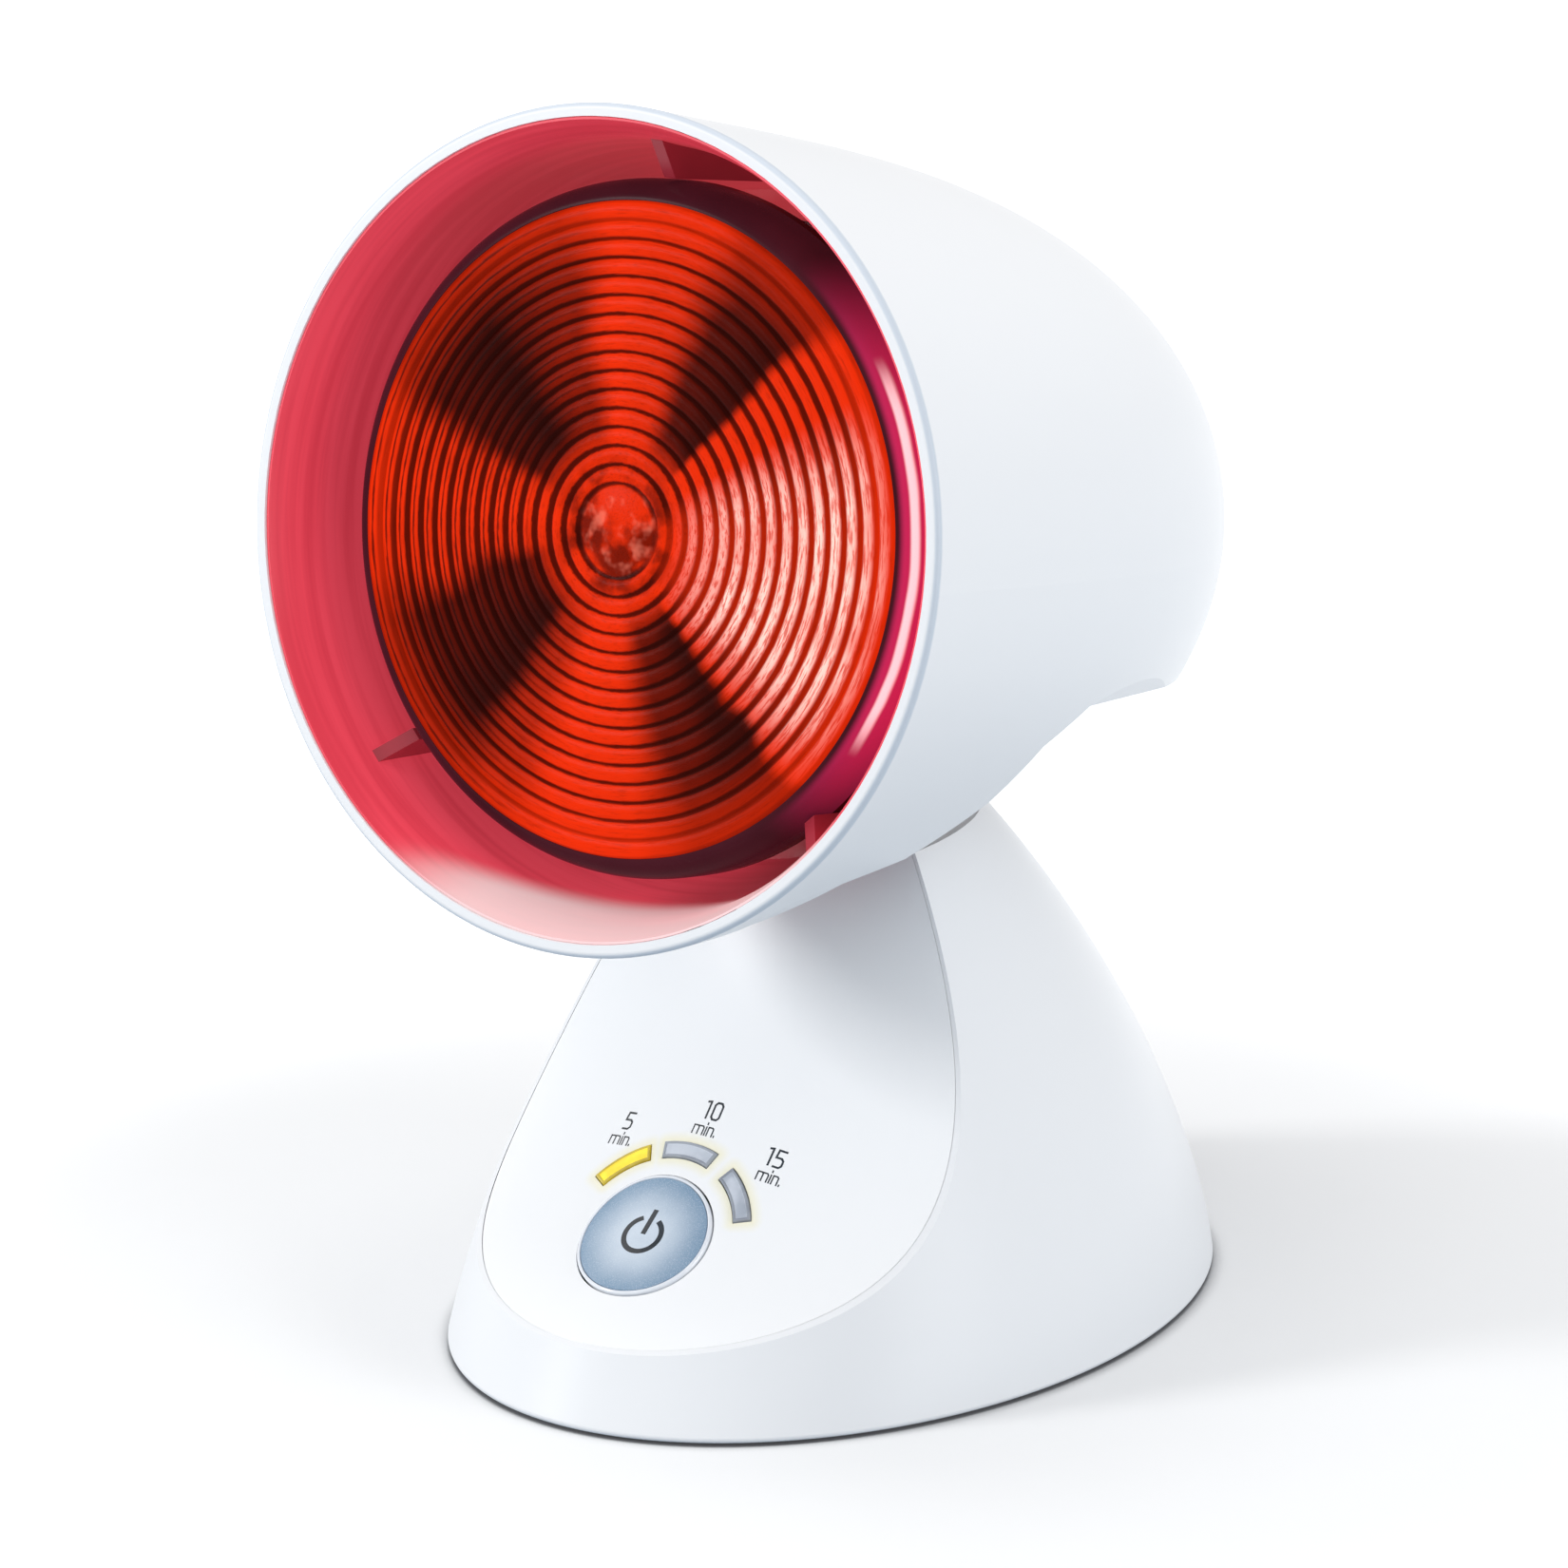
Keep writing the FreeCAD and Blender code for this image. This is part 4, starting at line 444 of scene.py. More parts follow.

# %% [markdown]
# Now the light is put together. The wedges show in the middle of the glass
# and fade at the hub and the rim, the hub itself is mottled, and the painted
# shade of grooves and fine lines takes light away. On the right, each rib
# carries a painted highlight, a pale streak, and the hub has a few painted
# highlights in a lighter red. The colour mostly glows and hardly reflects,
# as glass with a lamp behind it does.

# %% Light on the ribbed glass
outside_hub = ramp(radius, 8.5 * MM, 15.0 * MM)
mottle = ramp(noise(where, 170.0, 3.0), 0.36, 0.60, 0.22, 0.92)
wedge_zone = ramp(radius, 11.0 * MM, 20.0 * MM) * ramp(radius, 57.0 * MM, 43.0 * MM, 0.50, 1.0)
shadow = (1.0 - Signal(sectors.outputs[0])) * wedge_zone
lit = (1.0 - shadow) * outside_hub + mottle * (1.0 - outside_hub)
lit = lit * (1.0 - groove_shade * 0.88)
lit = lit * ramp(striae, 0.15, 0.55, 0.65, 1.0)
lit = lit * (1.0 - crest_shade * 0.78)
red = mixed(lit, (0.014, 0.0010, 0.0004, 1), (0.68, 0.0230, 0.0018, 1))

rib_zone = ramp(radius, 12.0 * MM, 24.0 * MM) * ramp(radius, 59.0 * MM, 47.0 * MM)
# painted highlight: a pale streak along each rib on the right
highlight_streak = right_side * rib_zone * ramp(striae, 0.38, 0.54, 0.25, 1.0)
highlight_streak = highlight_streak * (ramp(across_rib, 0.10, 0.30) * ramp(across_rib, 0.88, 0.60))
highlight_streak = highlight_streak * ramp(noise(where, 75.0), 0.38, 0.62, 0.55, 1.0)
red = mixed(highlight_streak, red, (0.92, 0.58, 0.50, 1))
# painted highlight: lighter red blushes on the hub
hub_highlight = ramp(noise(where, 300.0), 0.50, 0.75) * ramp(radius, 8.6 * MM, 7.0 * MM)
red = mixed(hub_highlight * 0.45, red, (0.86, 0.20, 0.13, 1))
plug(glass_shader, {"Base Color": mixed(0.64, red, (0.0, 0.0, 0.0, 1)),
                    "Emission Color": red, "Emission Strength": 1.0,
                    "Roughness": 0.30, "Specular IOR Level": 0.02})
relief(glass_shader, striae, 0.00012, 0.5)
print("nodes in the ribbed glass:", len(where.tree.nodes))

# %% [markdown]
# The liner is a glossy, slightly see-through red moulding. Turned tools leave
# faint rings in such a part, so its pattern is drawn out round the wall too.
# It glows a little, which is painted light from the bulb, and the bulb doesn't
# light it evenly: painted shade makes it browner at the top and dark in two
# places on the right that the bulb's edge shades, and a pale painted reflection
# lies along the lip below. The bulb's bowl is red glass with a mirror behind
# it, seen only as a dark, purplish ring.

# %% Liner and bowl
shader, where = start_finish("liner_red")
_, angle, depth = round_the_axis(where)
rings = noise(sweep(depth * 420.0, angle, 1.0), 1.0, 3.0)
share = rings * 0.7 + noise(where, 22.0) * 0.3
red = mixed(ramp(share, 0.35, 0.65), (0.50, 0.034, 0.056, 1), (0.60, 0.050, 0.078, 1))
# painted shade: browner towards the top
top_shade = ramp(angle.apply("SINE"), 0.30, 0.98) * ramp(depth, 4.0 * MM, 16.0 * MM)
red = mixed(top_shade * 0.55, red, (0.36, 0.038, 0.040, 1))

upper_right = ramp((angle - 1.02).apply("COSINE"), 0.86, 0.99)
lower_right = ramp((angle + 0.95).apply("COSINE"), 0.80, 0.97)
shaded = upper_right.apply("MAXIMUM", lower_right) * ramp(depth, 10.0 * MM, 26.0 * MM)
red = mixed(shaded * 0.80, red, (0.085, 0.012, 0.014, 1))

# painted reflection: a pale bloom along the lower lip
lower = (angle + (math.pi - 0.22)).apply("SINE")
bloom_depth = (lower - 0.70).apply("MAXIMUM", 0.0) * (75.0 * MM)
bloom = ramp(depth - bloom_depth, 4.0 * MM, -6.0 * MM) * ramp(lower, 0.70, 0.90)
red = mixed(bloom * 0.86, red, (0.58, 0.46, 0.46, 1))
# the glow is painted light from the bulb
plug(shader, {"Base Color": red, "Emission Color": red, "Emission Strength": 0.70,
              "Roughness": 0.33, "Specular IOR Level": 0.35,
              "Coat Weight": 0.3, "Coat Roughness": 0.12})
relief(shader, rings, 0.00005, 0.35)

shader, where = start_finish("bulb_glass_back")
smoke = noise(where, 60.0, 3.0)
plug(shader, {"Base Color": mixed(smoke, (0.100, 0.008, 0.016, 1), (0.045, 0.005, 0.009, 1)),
              "Roughness": 0.16, "Specular IOR Level": 0.08})
relief(shader, noise(where, 300.0), 0.00003, 0.3)
print("finishes so far:", len(finishes))

# %% [markdown]
# Round the ribs the glass runs out in a smooth bead before it meets the
# mirrored bowl. It looks almost black, but on the right the light shines
# through its edge and leaves a magenta band with one thin, pale glint. The
# fins that centre the bulb are of the liner's plastic, only darker, since
# they stand across the light.

# %% Bead and fins
GLINT_RADIUS = 59.3 * MM

shader, where = start_finish("bead_glass")
radius, angle, _ = round_the_axis(where)
dark = mixed(noise(where, 60.0, 3.0), (0.052, 0.008, 0.014, 1), (0.024, 0.004, 0.007, 1))
right_side = ramp((angle - 0.05).apply("COSINE"), 0.55, 0.95)
through_glass = ramp(radius, 56.6 * MM, 58.0 * MM) * right_side
colour = mixed(through_glass, dark, (0.42, 0.020, 0.090, 1))
ripple = noise(where, 50.0) * (0.8 * MM)
off_glint = (radius + ripple - GLINT_RADIUS).apply("ABSOLUTE")
glint = ramp(off_glint, 0.6 * MM, 0.2 * MM) * ramp(right_side, 0.75, 1.0)
colour = mixed(glint, colour, (0.94, 0.78, 0.80, 1))
plug(shader, {"Base Color": colour, "Emission Color": colour, "Emission Strength": 0.60,
              "Roughness": 0.25, "Specular IOR Level": 0.02})

# painted shade and light: the fins are darker than the liner where they stand across the light, and their faint
# glow stands in for the bulb's light
shader, where = start_finish("fin_red")
cloud = noise(where, 90.0)
red = mixed(cloud, (0.34, 0.026, 0.042, 1), (0.24, 0.018, 0.030, 1))
plug(shader, {"Base Color": red, "Emission Color": red, "Emission Strength": 0.25,
              "Roughness": 0.30, "Specular IOR Level": 0.40})
relief(shader, cloud, 0.00005, 0.3)
print("finishes so far:", len(finishes))

# %% [markdown]
# ## Button and windows
# The button is lacquered with a metal-flake blue that is pale silver in the
# middle and deeper blue towards the edge. The flakes are very fine noise.
# The windows are clear light guides in little bevelled frames: the one that
# counts the running time is yellow, the others are silvery.

# %% Button lacquer
shader, where = start_finish("button_blue")
flakes = noise(where, 5200.0, 1.0)
towards_edge = ramp(vector_step("LENGTH", where), 3.0 * MM, 13.0 * MM)
towards_edge = towards_edge + (noise(where, 160.0) - 0.5) * 0.35
blue = mixed(towards_edge, (0.66, 0.74, 0.83, 1), (0.22, 0.34, 0.48, 1))
blue = mixed(ramp(flakes, 0.45, 0.75) * 0.30, blue, (0.80, 0.86, 0.92, 1))
plug(shader, {"Base Color": blue, "Metallic": 0.35, "Roughness": 0.38, "Coat Weight": 0.4})
relief(shader, flakes, 0.00001, 0.4)
print("nodes in the lacquer:", len(where.tree.nodes))

# %% Window finishes
def window_finish(name, light, dark, glow):
    """Glossy, faintly cloudy plastic that glows by a set amount."""
    shader, where = start_finish(name)
    cloud = noise(where, 240.0)
    colour = mixed(ramp(cloud, 0.35, 0.65), light, dark)
    plug(shader, {"Base Color": colour, "Emission Color": colour, "Emission Strength": glow,
                  "Roughness": 0.18, "Coat Weight": 0.6})
    relief(shader, cloud, 0.00002, 0.3)


window_finish("window_lit", (0.93, 0.74, 0.02, 1), (0.82, 0.58, 0.01, 1), 0.30)
window_finish("window_clear", (0.62, 0.66, 0.73, 1), (0.42, 0.46, 0.53, 1), 0.0)
window_finish("window_frame", (0.34, 0.37, 0.42, 1), (0.26, 0.28, 0.33, 1), 0.0)
# painted light: the lit window's frame is tinted yellow and glows with its light guide's light
window_finish("frame_lit", (0.62, 0.47, 0.03, 1), (0.50, 0.36, 0.02, 1), 0.10)
window_finish("printing_ink", (0.022, 0.028, 0.036, 1), (0.014, 0.018, 0.024, 1), 0.0)
window_finish("button_ring", (0.88, 0.90, 0.94, 1), (0.80, 0.83, 0.88, 1), 0.0)
print("finishes:", sorted(finishes))

# %% [markdown]
# ## The front panel and its halos
# The light windows leak a soft yellow halo into the white panel round them.
# It is cheaper and steadier to draw that halo in the panel's own finish than
# to trace it. The recipe turns a point into distance and angle round the
# button, measures how far it is outside each window, and fades from yellow
# to white over about two and a half millimetres.

# %% Panel finish
WINDOW_MIDDLE = 18.2 * MM       # from the button's middle to the middle of a window
WINDOW_HALF = 1.6 * MM
WINDOW_SPREAD = math.radians(17.0)
WINDOW_TURN = {"5_min": math.radians(133.0), "10_min": math.radians(90.5),
               "15_min": math.radians(43.5)}
HALO_WIDTH = 2.6 * MM
HALO_SHARE = 0.45

# The panel's white is a touch lighter than the shell's: painted light that makes the face brighter.
shader, where, white = moulded("panel_white", (0.955, 0.958, 0.963, 1),
                               (0.948, 0.951, 0.957, 1), 0.32)
from_button = vector_step("SUBTRACT", where, BUTTON_CENTRE)
side = vector_step("DOT_PRODUCT", from_button, ACROSS)
up = vector_step("DOT_PRODUCT", from_button, UP_FACE)
round_button = up.apply("ARCTAN2", side)
off_middle = (diagonal(side, up) - WINDOW_MIDDLE).apply("ABSOLUTE")
off_ring = (off_middle - WINDOW_HALF).apply("MAXIMUM", 0.0)
halo = None
for middle in WINDOW_TURN.values():
    past_end = (round_button - middle).apply("ABSOLUTE") - WINDOW_SPREAD
    off_end = past_end.apply("MAXIMUM", 0.0) * WINDOW_MIDDLE
    glow = ramp(diagonal(off_ring, off_end), HALO_WIDTH, 0.0)
    halo = glow if halo is None else halo.apply("MAXIMUM", glow)
plug(shader, {"Base Color": mixed(halo * HALO_SHARE, white, (0.95, 0.86, 0.42, 1))})
print("nodes in the panel's finish:", len(where.tree.nodes))

# %% [markdown]
# ## Finishes for the pieces that keep their solid
# Most pieces are right as they are, so they only need a finish. The record
# says which finish each piece belongs to, and this loop hands them out. The
# front panel gets the version with halos, and the fins their darker red.

# %% Hand out the finishes
slot_of = {row["node"]: row["material_slot"] for row in frame["record"]["subparts"]}
OWN_FINISH = {"front_panel": "panel_white"}
OWN_FINISH.update({"centring_fin_%d" % number: "fin_red" for number in (1, 2, 3)})
for name, solid in frame["nodes"].items():
    finish = finishes[OWN_FINISH.get(name, slot_of[name])]
    solid.data.materials.clear()
    solid.data.materials.append(finish)
print("finished solids:", len(frame["nodes"]))

# %% [markdown]
# ## Turning round pieces
# The liner and the bulb are round about the head's axis, so one profile, a
# list of radius and depth in millimetres, is swept round it. A surface that
# reaches the axis ends in a single point instead of a ring. Edges sharper
# than an angle stay crisp and the others are shaded smooth. Every made piece
# rides on one of the lamp's bodies, so that it moves with it.

# %% A lathe for the head's pieces
def make_piece(name, points, faces, finish_names, body, placed=Matrix(), sharp=None):
    """Mesh piece that rides on a body; edges over the sharp angle stay crisp."""
    mesh = bpy.data.meshes.new(name)
    mesh.from_pydata(points, [], faces)
    mesh.update()
    if sharp is not None:
        mesh.shade_smooth()
        mesh.set_sharp_from_angle(angle=math.radians(sharp))
    for finish_name in finish_names:
        mesh.materials.append(finishes[finish_name])
    piece = bpy.data.objects.new(name, mesh)
    piece.matrix_world = placed
    bpy.context.scene.collection.objects.link(piece)
    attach(piece, body)
    return piece


def skin(rings, closed=False, flipped=False):
    """Faces between neighbouring rings of points; a ring may be one point, repeated."""
    faces = []
    for near, far in zip(rings, rings[1:] + (rings[:1] if closed else [])):
        for step in range(len(near)):
            after = (step + 1) % len(near)
            corners = [near[step], near[after], far[after], far[step]]
            if flipped:
                corners[1:] = reversed(corners[1:])
            faces.append([c for i, c in enumerate(corners) if c != corners[i - 1]])
    return faces


def lathe(name, outline, finish_name, steps=240, closed=False, sharp=35.0):
    """Piece turned from a profile in the head's frame."""
    points = []
    rings = []
    for radius, depth in outline:
        if radius == 0.0:
            rings.append([len(points)] * steps)
            points.append((0.0, depth * MM, 0.0))
            continue
        rings.append(list(range(len(points), len(points) + steps)))
        for step in range(steps):
            turn = 2 * math.pi * step / steps
            points.append((radius * MM * math.cos(turn), depth * MM, radius * MM * math.sin(turn)))
    return make_piece(name, points, skin(rings, closed), [finish_name], "head", HEAD, sharp)


# %% [markdown]
# ## The shade's liner
# The liner is a thin cup without a bottom: it starts at the rim, narrows
# towards the bulb and turns in behind the flange. Its profile is a closed
# loop, out along one side and back along the other, with a rounded front lip.
# A curve through five stations gives the wall; it is sampled evenly.

# %% Turn the liner
LINER_STATIONS = ((0.4, 69.9), (8.0, 68.3), (20.0, 66.7), (35.0, 64.1), (50.0, 60.3))
LINER_SAMPLES = 24
LINER_WALL = 1.3
LIP_WALL = 0.5                  # the wall at the rim
LIP_LENGTH = 7.6                # how far in it reaches its full thickness
LIP_ROUND = 0.12
FLOOR_STEP = 0.4                # the inner wall ends this far in at the floor
# the turned-in floor, from the outside round the hole to the inside
FLOOR = [(60.3, 51.2), (60.0, 51.3), (54.2, 51.3), (54.0, 51.15), (54.0, 50.15), (54.2, 50.0)]


def through(stations, share):
    """Depth, and smooth value between stations, at a share from 0 to 1 of their depth."""
    depth = stations[0][0] + (stations[-1][0] - stations[0][0]) * share
    total = 0.0
    for i, (s, r) in enumerate(stations):
        weight = r
        for j, (t, _) in enumerate(stations):
            if j != i:
                weight *= (depth - t) / (s - t)
        total += weight
    return depth, total


def wall_at(depth):
    """Thickness of the liner's wall behind the rim."""
    behind_lip = depth - LINER_STATIONS[0][0]
    return min(LINER_WALL, LIP_WALL + (LINER_WALL - LIP_WALL) * behind_lip / LIP_LENGTH)


outer = [through(LINER_STATIONS, step / LINER_SAMPLES) for step in range(LINER_SAMPLES + 1)]
inner = [(radius - wall_at(depth), depth) for depth, radius in reversed(outer)]
outline = [(radius, depth) for depth, radius in outer] + FLOOR
outline += [(inner[0][0] - FLOOR_STEP, FLOOR[-1][1])] + inner[1:]
outline[-1] = (outline[-1][0] + LIP_ROUND, outline[-1][1])
liner = lathe("liner_wall", outline, "liner_red", closed=True)
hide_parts("shade_liner")
print("liner profile points:", len(outline))

# %% [markdown]
# ## The ribbed front of the bulb
# The glass is pressed with round ribs that spread the heat. Each rib is a low
# arch, three millimetres wide and half a millimetre high, and they sit on a
# very shallow dome. The hub inside the first rib is cushion shaped. Sampling
# eight points over each rib keeps the arches round, which matters more than
# the finish, because the highlights run along them.

# %% Press the ribs
LENS_FRONT = 9.6                # depth of the dome's middle behind the rim
LENS_BALL = 900.0               # radius of the dome's ball
HUB_HEIGHT = 0.9
HUB_SAMPLES = 8
RIB_HEIGHT = 0.55
RIB_SAMPLES = 8
RIBS = 15
RIBBED_RADIUS = 56.1
BACK_RADIUS = 53.1
GLASS_BACK = 20.6
GLASS_THICKNESS = 3.0


def dome(radius):
    """Depth of the plain dome behind the rim."""
    return LENS_FRONT + LENS_BALL - math.sqrt(LENS_BALL ** 2 - radius ** 2)


outline = [(0.0, dome(0) - HUB_HEIGHT)]
for step in range(1, HUB_SAMPLES + 1):
    share = step / HUB_SAMPLES
    radius = HUB * step / HUB_SAMPLES
    outline.append((radius, dome(radius) - HUB_HEIGHT * math.cos(math.pi / 2 * share ** 1.5)))
for rib in range(RIBS):
    for step in range(1, RIB_SAMPLES + 1):
        share = step / RIB_SAMPLES
        radius = HUB + RIB_PITCH * (rib + share)
        outline.append((radius, dome(radius) - RIB_HEIGHT * math.sin(math.pi * share) ** 0.8))
outline += [(RIBBED_RADIUS, GLASS_BACK), (BACK_RADIUS, GLASS_BACK),
            (BACK_RADIUS, dome(BACK_RADIUS) + GLASS_THICKNESS), (0.0, dome(0) + GLASS_THICKNESS)]
front = lathe("ribbed_glass", outline, "bulb_glass_red", steps=288, sharp=60.0)
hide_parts("bulb_lens")
print("ribbed glass:", len(front.data.polygons), "faces")

# %% [markdown]
# Outside the last rib the glass is plain. It turns over in a quarter round
# and runs back to the bowl. It has a finish of its own, so it is a piece of
# its own, turned from a closed profile on the same lathe.

# %% The smooth bead round the ribs
BEAD_INSIDE = 56.15
BEAD_START = 56.2
BEAD_ROUND = 3.8
BEAD_DEPTH = 18.0
BEAD_SAMPLES = 16

shoulder = dome(RIBBED_RADIUS)
outline = [(BEAD_INSIDE, GLASS_BACK), (BEAD_INSIDE, shoulder + 0.3)]
for step in range(BEAD_SAMPLES + 1):
    turn = math.pi / 2 * step / BEAD_SAMPLES
    outline.append((BEAD_START + BEAD_ROUND * math.sin(turn),
                    shoulder + (BEAD_DEPTH - shoulder) * (1 - math.cos(turn))))
outline.append((BEAD_START + BEAD_ROUND, GLASS_BACK))
bead = lathe("flange_bead", outline, "bead_glass", steps=288, closed=True)
print("flange bead:", len(bead.data.polygons), "faces")

# %% [markdown]
# ## Drawing on the sloping face
# The face is curved both ways, so nothing flat would lie on it. A drawing is
# made on a flat sheet and each of its points is dropped along the sheet's
# normal until it meets the solid below, which is what a pad printer's soft
# stamp does. A tree of the solid's faces makes the drop quick.

# %% Drop a point on a solid
DROP_HEIGHT = 20.0 * MM


def polar(radius, turn):
    """Step from the button's middle on the flat sheet, at a radius and an angle."""
    return ACROSS * radius * math.cos(turn) + UP_FACE * radius * math.sin(turn)


def landing(node):
    """Function that drops a point of the flat sheet on one solid."""
    mesh = frame["nodes"][node].data
    corners = [vertex.co for vertex in mesh.vertices]
    tree_of_faces = BVHTree.FromPolygons(corners, [tuple(face.vertices) for face in mesh.polygons])

    def drop(x, up, lift=0.0):
        above = BUTTON_CENTRE + ACROSS * x + UP_FACE * up + OUT * DROP_HEIGHT
        hit = tree_of_faces.ray_cast(above, -OUT)[0]
        return None if hit is None else hit + OUT * lift

    return drop


def height_of(spot):
    """How far a spot lies over the flat sheet."""
    return (spot - BUTTON_CENTRE).dot(OUT)


on_panel = landing("front_panel")
on_button = landing("power_button")
print("22 mm up the face, the panel is", round(height_of(on_panel(0.0, 0.022)) / MM, 2),
      "mm off the flat sheet")

# %% [markdown]
# ## The timer button
# The button is a shallow lacquered cushion inside a raised white ring, with
# its gap to the panel as a dark line. It is drawn in polar form: rings of
# points with a height for each ring, dropped on the solid's own top so that
# it follows the face's curve. Its origin is the button's middle, because the
# lacquer's change from pale middle to blue edge is measured from there.

# %% Build the button
BUTTON_RADIUS = 12.0
CUSHION_HEIGHT = 0.22
BUTTON_BOTTOM = -3.4            # under the solid's top
POLAR_STEPS = 128


def polar_piece(name, profile, finish_name):
    """Round piece on the button; profile is (radius, height over its top) in millimetres."""
    centre = on_button(0.0, 0.0)
    points = []
    rings = []
    for radius, height in profile:
        ring = []
        for step in range(POLAR_STEPS if radius > 0 else 1):
            turn = 2 * math.pi * step / POLAR_STEPS
            reach = min(radius, BUTTON_RADIUS) * MM
            flat = height_of(on_button(reach * math.cos(turn), reach * math.sin(turn)))
            spot = BUTTON_CENTRE + polar(radius * MM, turn) + OUT * (flat + height * MM)
            ring.append(len(points))
            points.append(spot - centre)
        rings.append(ring if radius > 0 else ring * POLAR_STEPS)
    return make_piece(name, points, skin(rings, flipped=True), [finish_name], "button",
                      Matrix.Translation(centre), 40)


cushion = [(r, CUSHION_HEIGHT * (1 - (r / BUTTON_RADIUS) ** 2))
           for r in (0.0, 2, 4, 6, 8, 10, 11, 11.6, BUTTON_RADIUS)]
cushion += [(12.05, -0.15), (12.05, BUTTON_BOTTOM), (0.0, BUTTON_BOTTOM)]
button = polar_piece("button_cushion", cushion, "button_blue")
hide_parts("power_button")

RING_SHAPE = [(12.12, BUTTON_BOTTOM), (12.12, -0.1), (12.2, 0.06), (12.35, 0.12), (12.55, 0.08),
              (12.72, -0.08), (12.78, -0.3), (12.78, BUTTON_BOTTOM), (12.12, BUTTON_BOTTOM)]
bezel = polar_piece("button_ring", RING_SHAPE, "button_ring")
print("button pieces:", len(button.data.polygons) + len(bezel.data.polygons), "faces")

# %% [markdown]
# ## Light windows
# Each window is a slice of a ring with a bevelled frame round a sunken light
# guide. The slice is a grid along its length and across its width; how far a
# grid point is from the nearest edge decides its height, so the bevel mitres
# itself at the corners. The grid lines crowd at the edges, where the height
# changes.

# %% Shape of a window
# distance from the window's edge and height over the solid's top, in millimetres
FRAME_SHAPE = ((0.0, -0.30), (0.08, 0.05), (0.20, 0.14), (0.42, 0.14), (0.56, 0.02),
               (0.66, -0.08), (1.6, -0.02))
FRAME_WIDTH = 0.60
WINDOW_INSIDE = 16.6            # radius of the inner edge
WINDOW_WIDTH = 3.2
WINDOW_DEPTH = 1.2
SEAT = 0.05                     # the top is laid this far inside the solid's edge
SEAT_SHARE = 0.99               # and on this share of the solid's length


def frame_height(edge):
    """Height over the solid's top at a distance from the window's edge."""
    for (near, low), (far, high) in zip(FRAME_SHAPE, FRAME_SHAPE[1:]):
        if edge <= far:
            return low + (high - low) * (edge - near) / (far - near)
    return FRAME_SHAPE[-1][1]


def stations(length, inner_steps):
    """Distances along one side, crowded at both ends."""
    ends = [edge for edge, _ in FRAME_SHAPE[:-1]]
    room = length - 2 * ends[-1]
    middle = [ends[-1] + room * step / inner_steps for step in range(1, inner_steps)]
    return ends + middle + [length - edge for edge in reversed(ends)]


across = stations(WINDOW_WIDTH, 4)
window_length = 2 * WINDOW_SPREAD * WINDOW_MIDDLE / MM
lengthways = stations(window_length, 16)
print("a window's grid is", len(across), "by", len(lengthways), "points")

# %% [markdown]
# The top is laid on the solid just inside its edge, so that no point drops
# past it. A wall down from the rim of the grid closes the sides. Faces near
# the edge get the frame's finish and the others the light guide's.

# %% Build the windows
def from_edge(a, b):
    """Distance of a grid point from the window's nearest edge."""
    return min(a, WINDOW_WIDTH - a, b, window_length - b)


def window_top(minutes):
    """Points of a window's top, row by row."""
    drop = landing("window_" + minutes)
    nearest = (WINDOW_INSIDE + SEAT) * MM
    furthest = (WINDOW_INSIDE + WINDOW_WIDTH - SEAT) * MM
    points = []
    for a in across:
        for b in lengthways:
            radius = (WINDOW_INSIDE + a) * MM
            off_middle = WINDOW_SPREAD * (2 * b / window_length - 1)
            inset = min(max(radius, nearest), furthest)
            inset_turn = WINDOW_TURN[minutes] + off_middle * SEAT_SHARE
            flat = height_of(drop(inset * math.cos(inset_turn), inset * math.sin(inset_turn)))
            points.append(BUTTON_CENTRE + polar(radius, WINDOW_TURN[minutes] + off_middle)
                          + OUT * (flat + frame_height(from_edge(a, b)) * MM))
    return points


def light_window(minutes, frame_finish, guide_finish):
    """Window with its frame, a top and walls down its sides, as a piece that rides on the foot."""
    points = window_top(minutes)
    wide, rows = len(lengthways), len(across)
    faces = []
    is_frame = []
    for i in range(rows - 1):
        for j in range(wide - 1):
            here, below = i * wide + j, (i + 1) * wide + j
            faces.append((here, below, below + 1, here + 1))
            middle = from_edge((across[i] + across[i + 1]) / 2,
                               (lengthways[j] + lengthways[j + 1]) / 2)
            is_frame.append(middle < FRAME_WIDTH)
    top = len(points)
    points += [point - OUT * WINDOW_DEPTH * MM for point in points]
    loop = list(range(wide)) + [i * wide + wide - 1 for i in range(1, rows)]
    loop += [(rows - 1) * wide + j for j in range(wide - 2, -1, -1)]
    loop += [i * wide for i in range(rows - 2, 0, -1)]
    for here, after in zip(loop, loop[1:] + loop[:1]):
        faces.append((here, after, after + top, here + top))
        is_frame.append(True)
    piece = make_piece("light_window_" + minutes, points, faces, [frame_finish, guide_finish],
                       "foot", sharp=25)
    for face, framed in zip(piece.data.polygons, is_frame):
        face.material_index = 0 if framed else 1
    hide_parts("window_" + minutes)
    return piece


for minutes in WINDOW_TURN:
    pair = ("frame_lit", "window_lit") if minutes == "5_min" else ("window_frame", "window_clear")
    made_window = light_window(minutes, *pair)
    print(made_window.name, len(made_window.data.polygons), "faces")

# %% [markdown]
# ## Printed figures and the power sign
# The print is thin ink strokes with square shoulders, leaning a little. A
# font would bring somebody's letter shapes along, so each character is a few
# pen strokes on a unit grid, and a stroke becomes a narrow ribbon that is
# dropped on the face. The common sign for power, a broken ring and a bar, is
# made by the same pen.

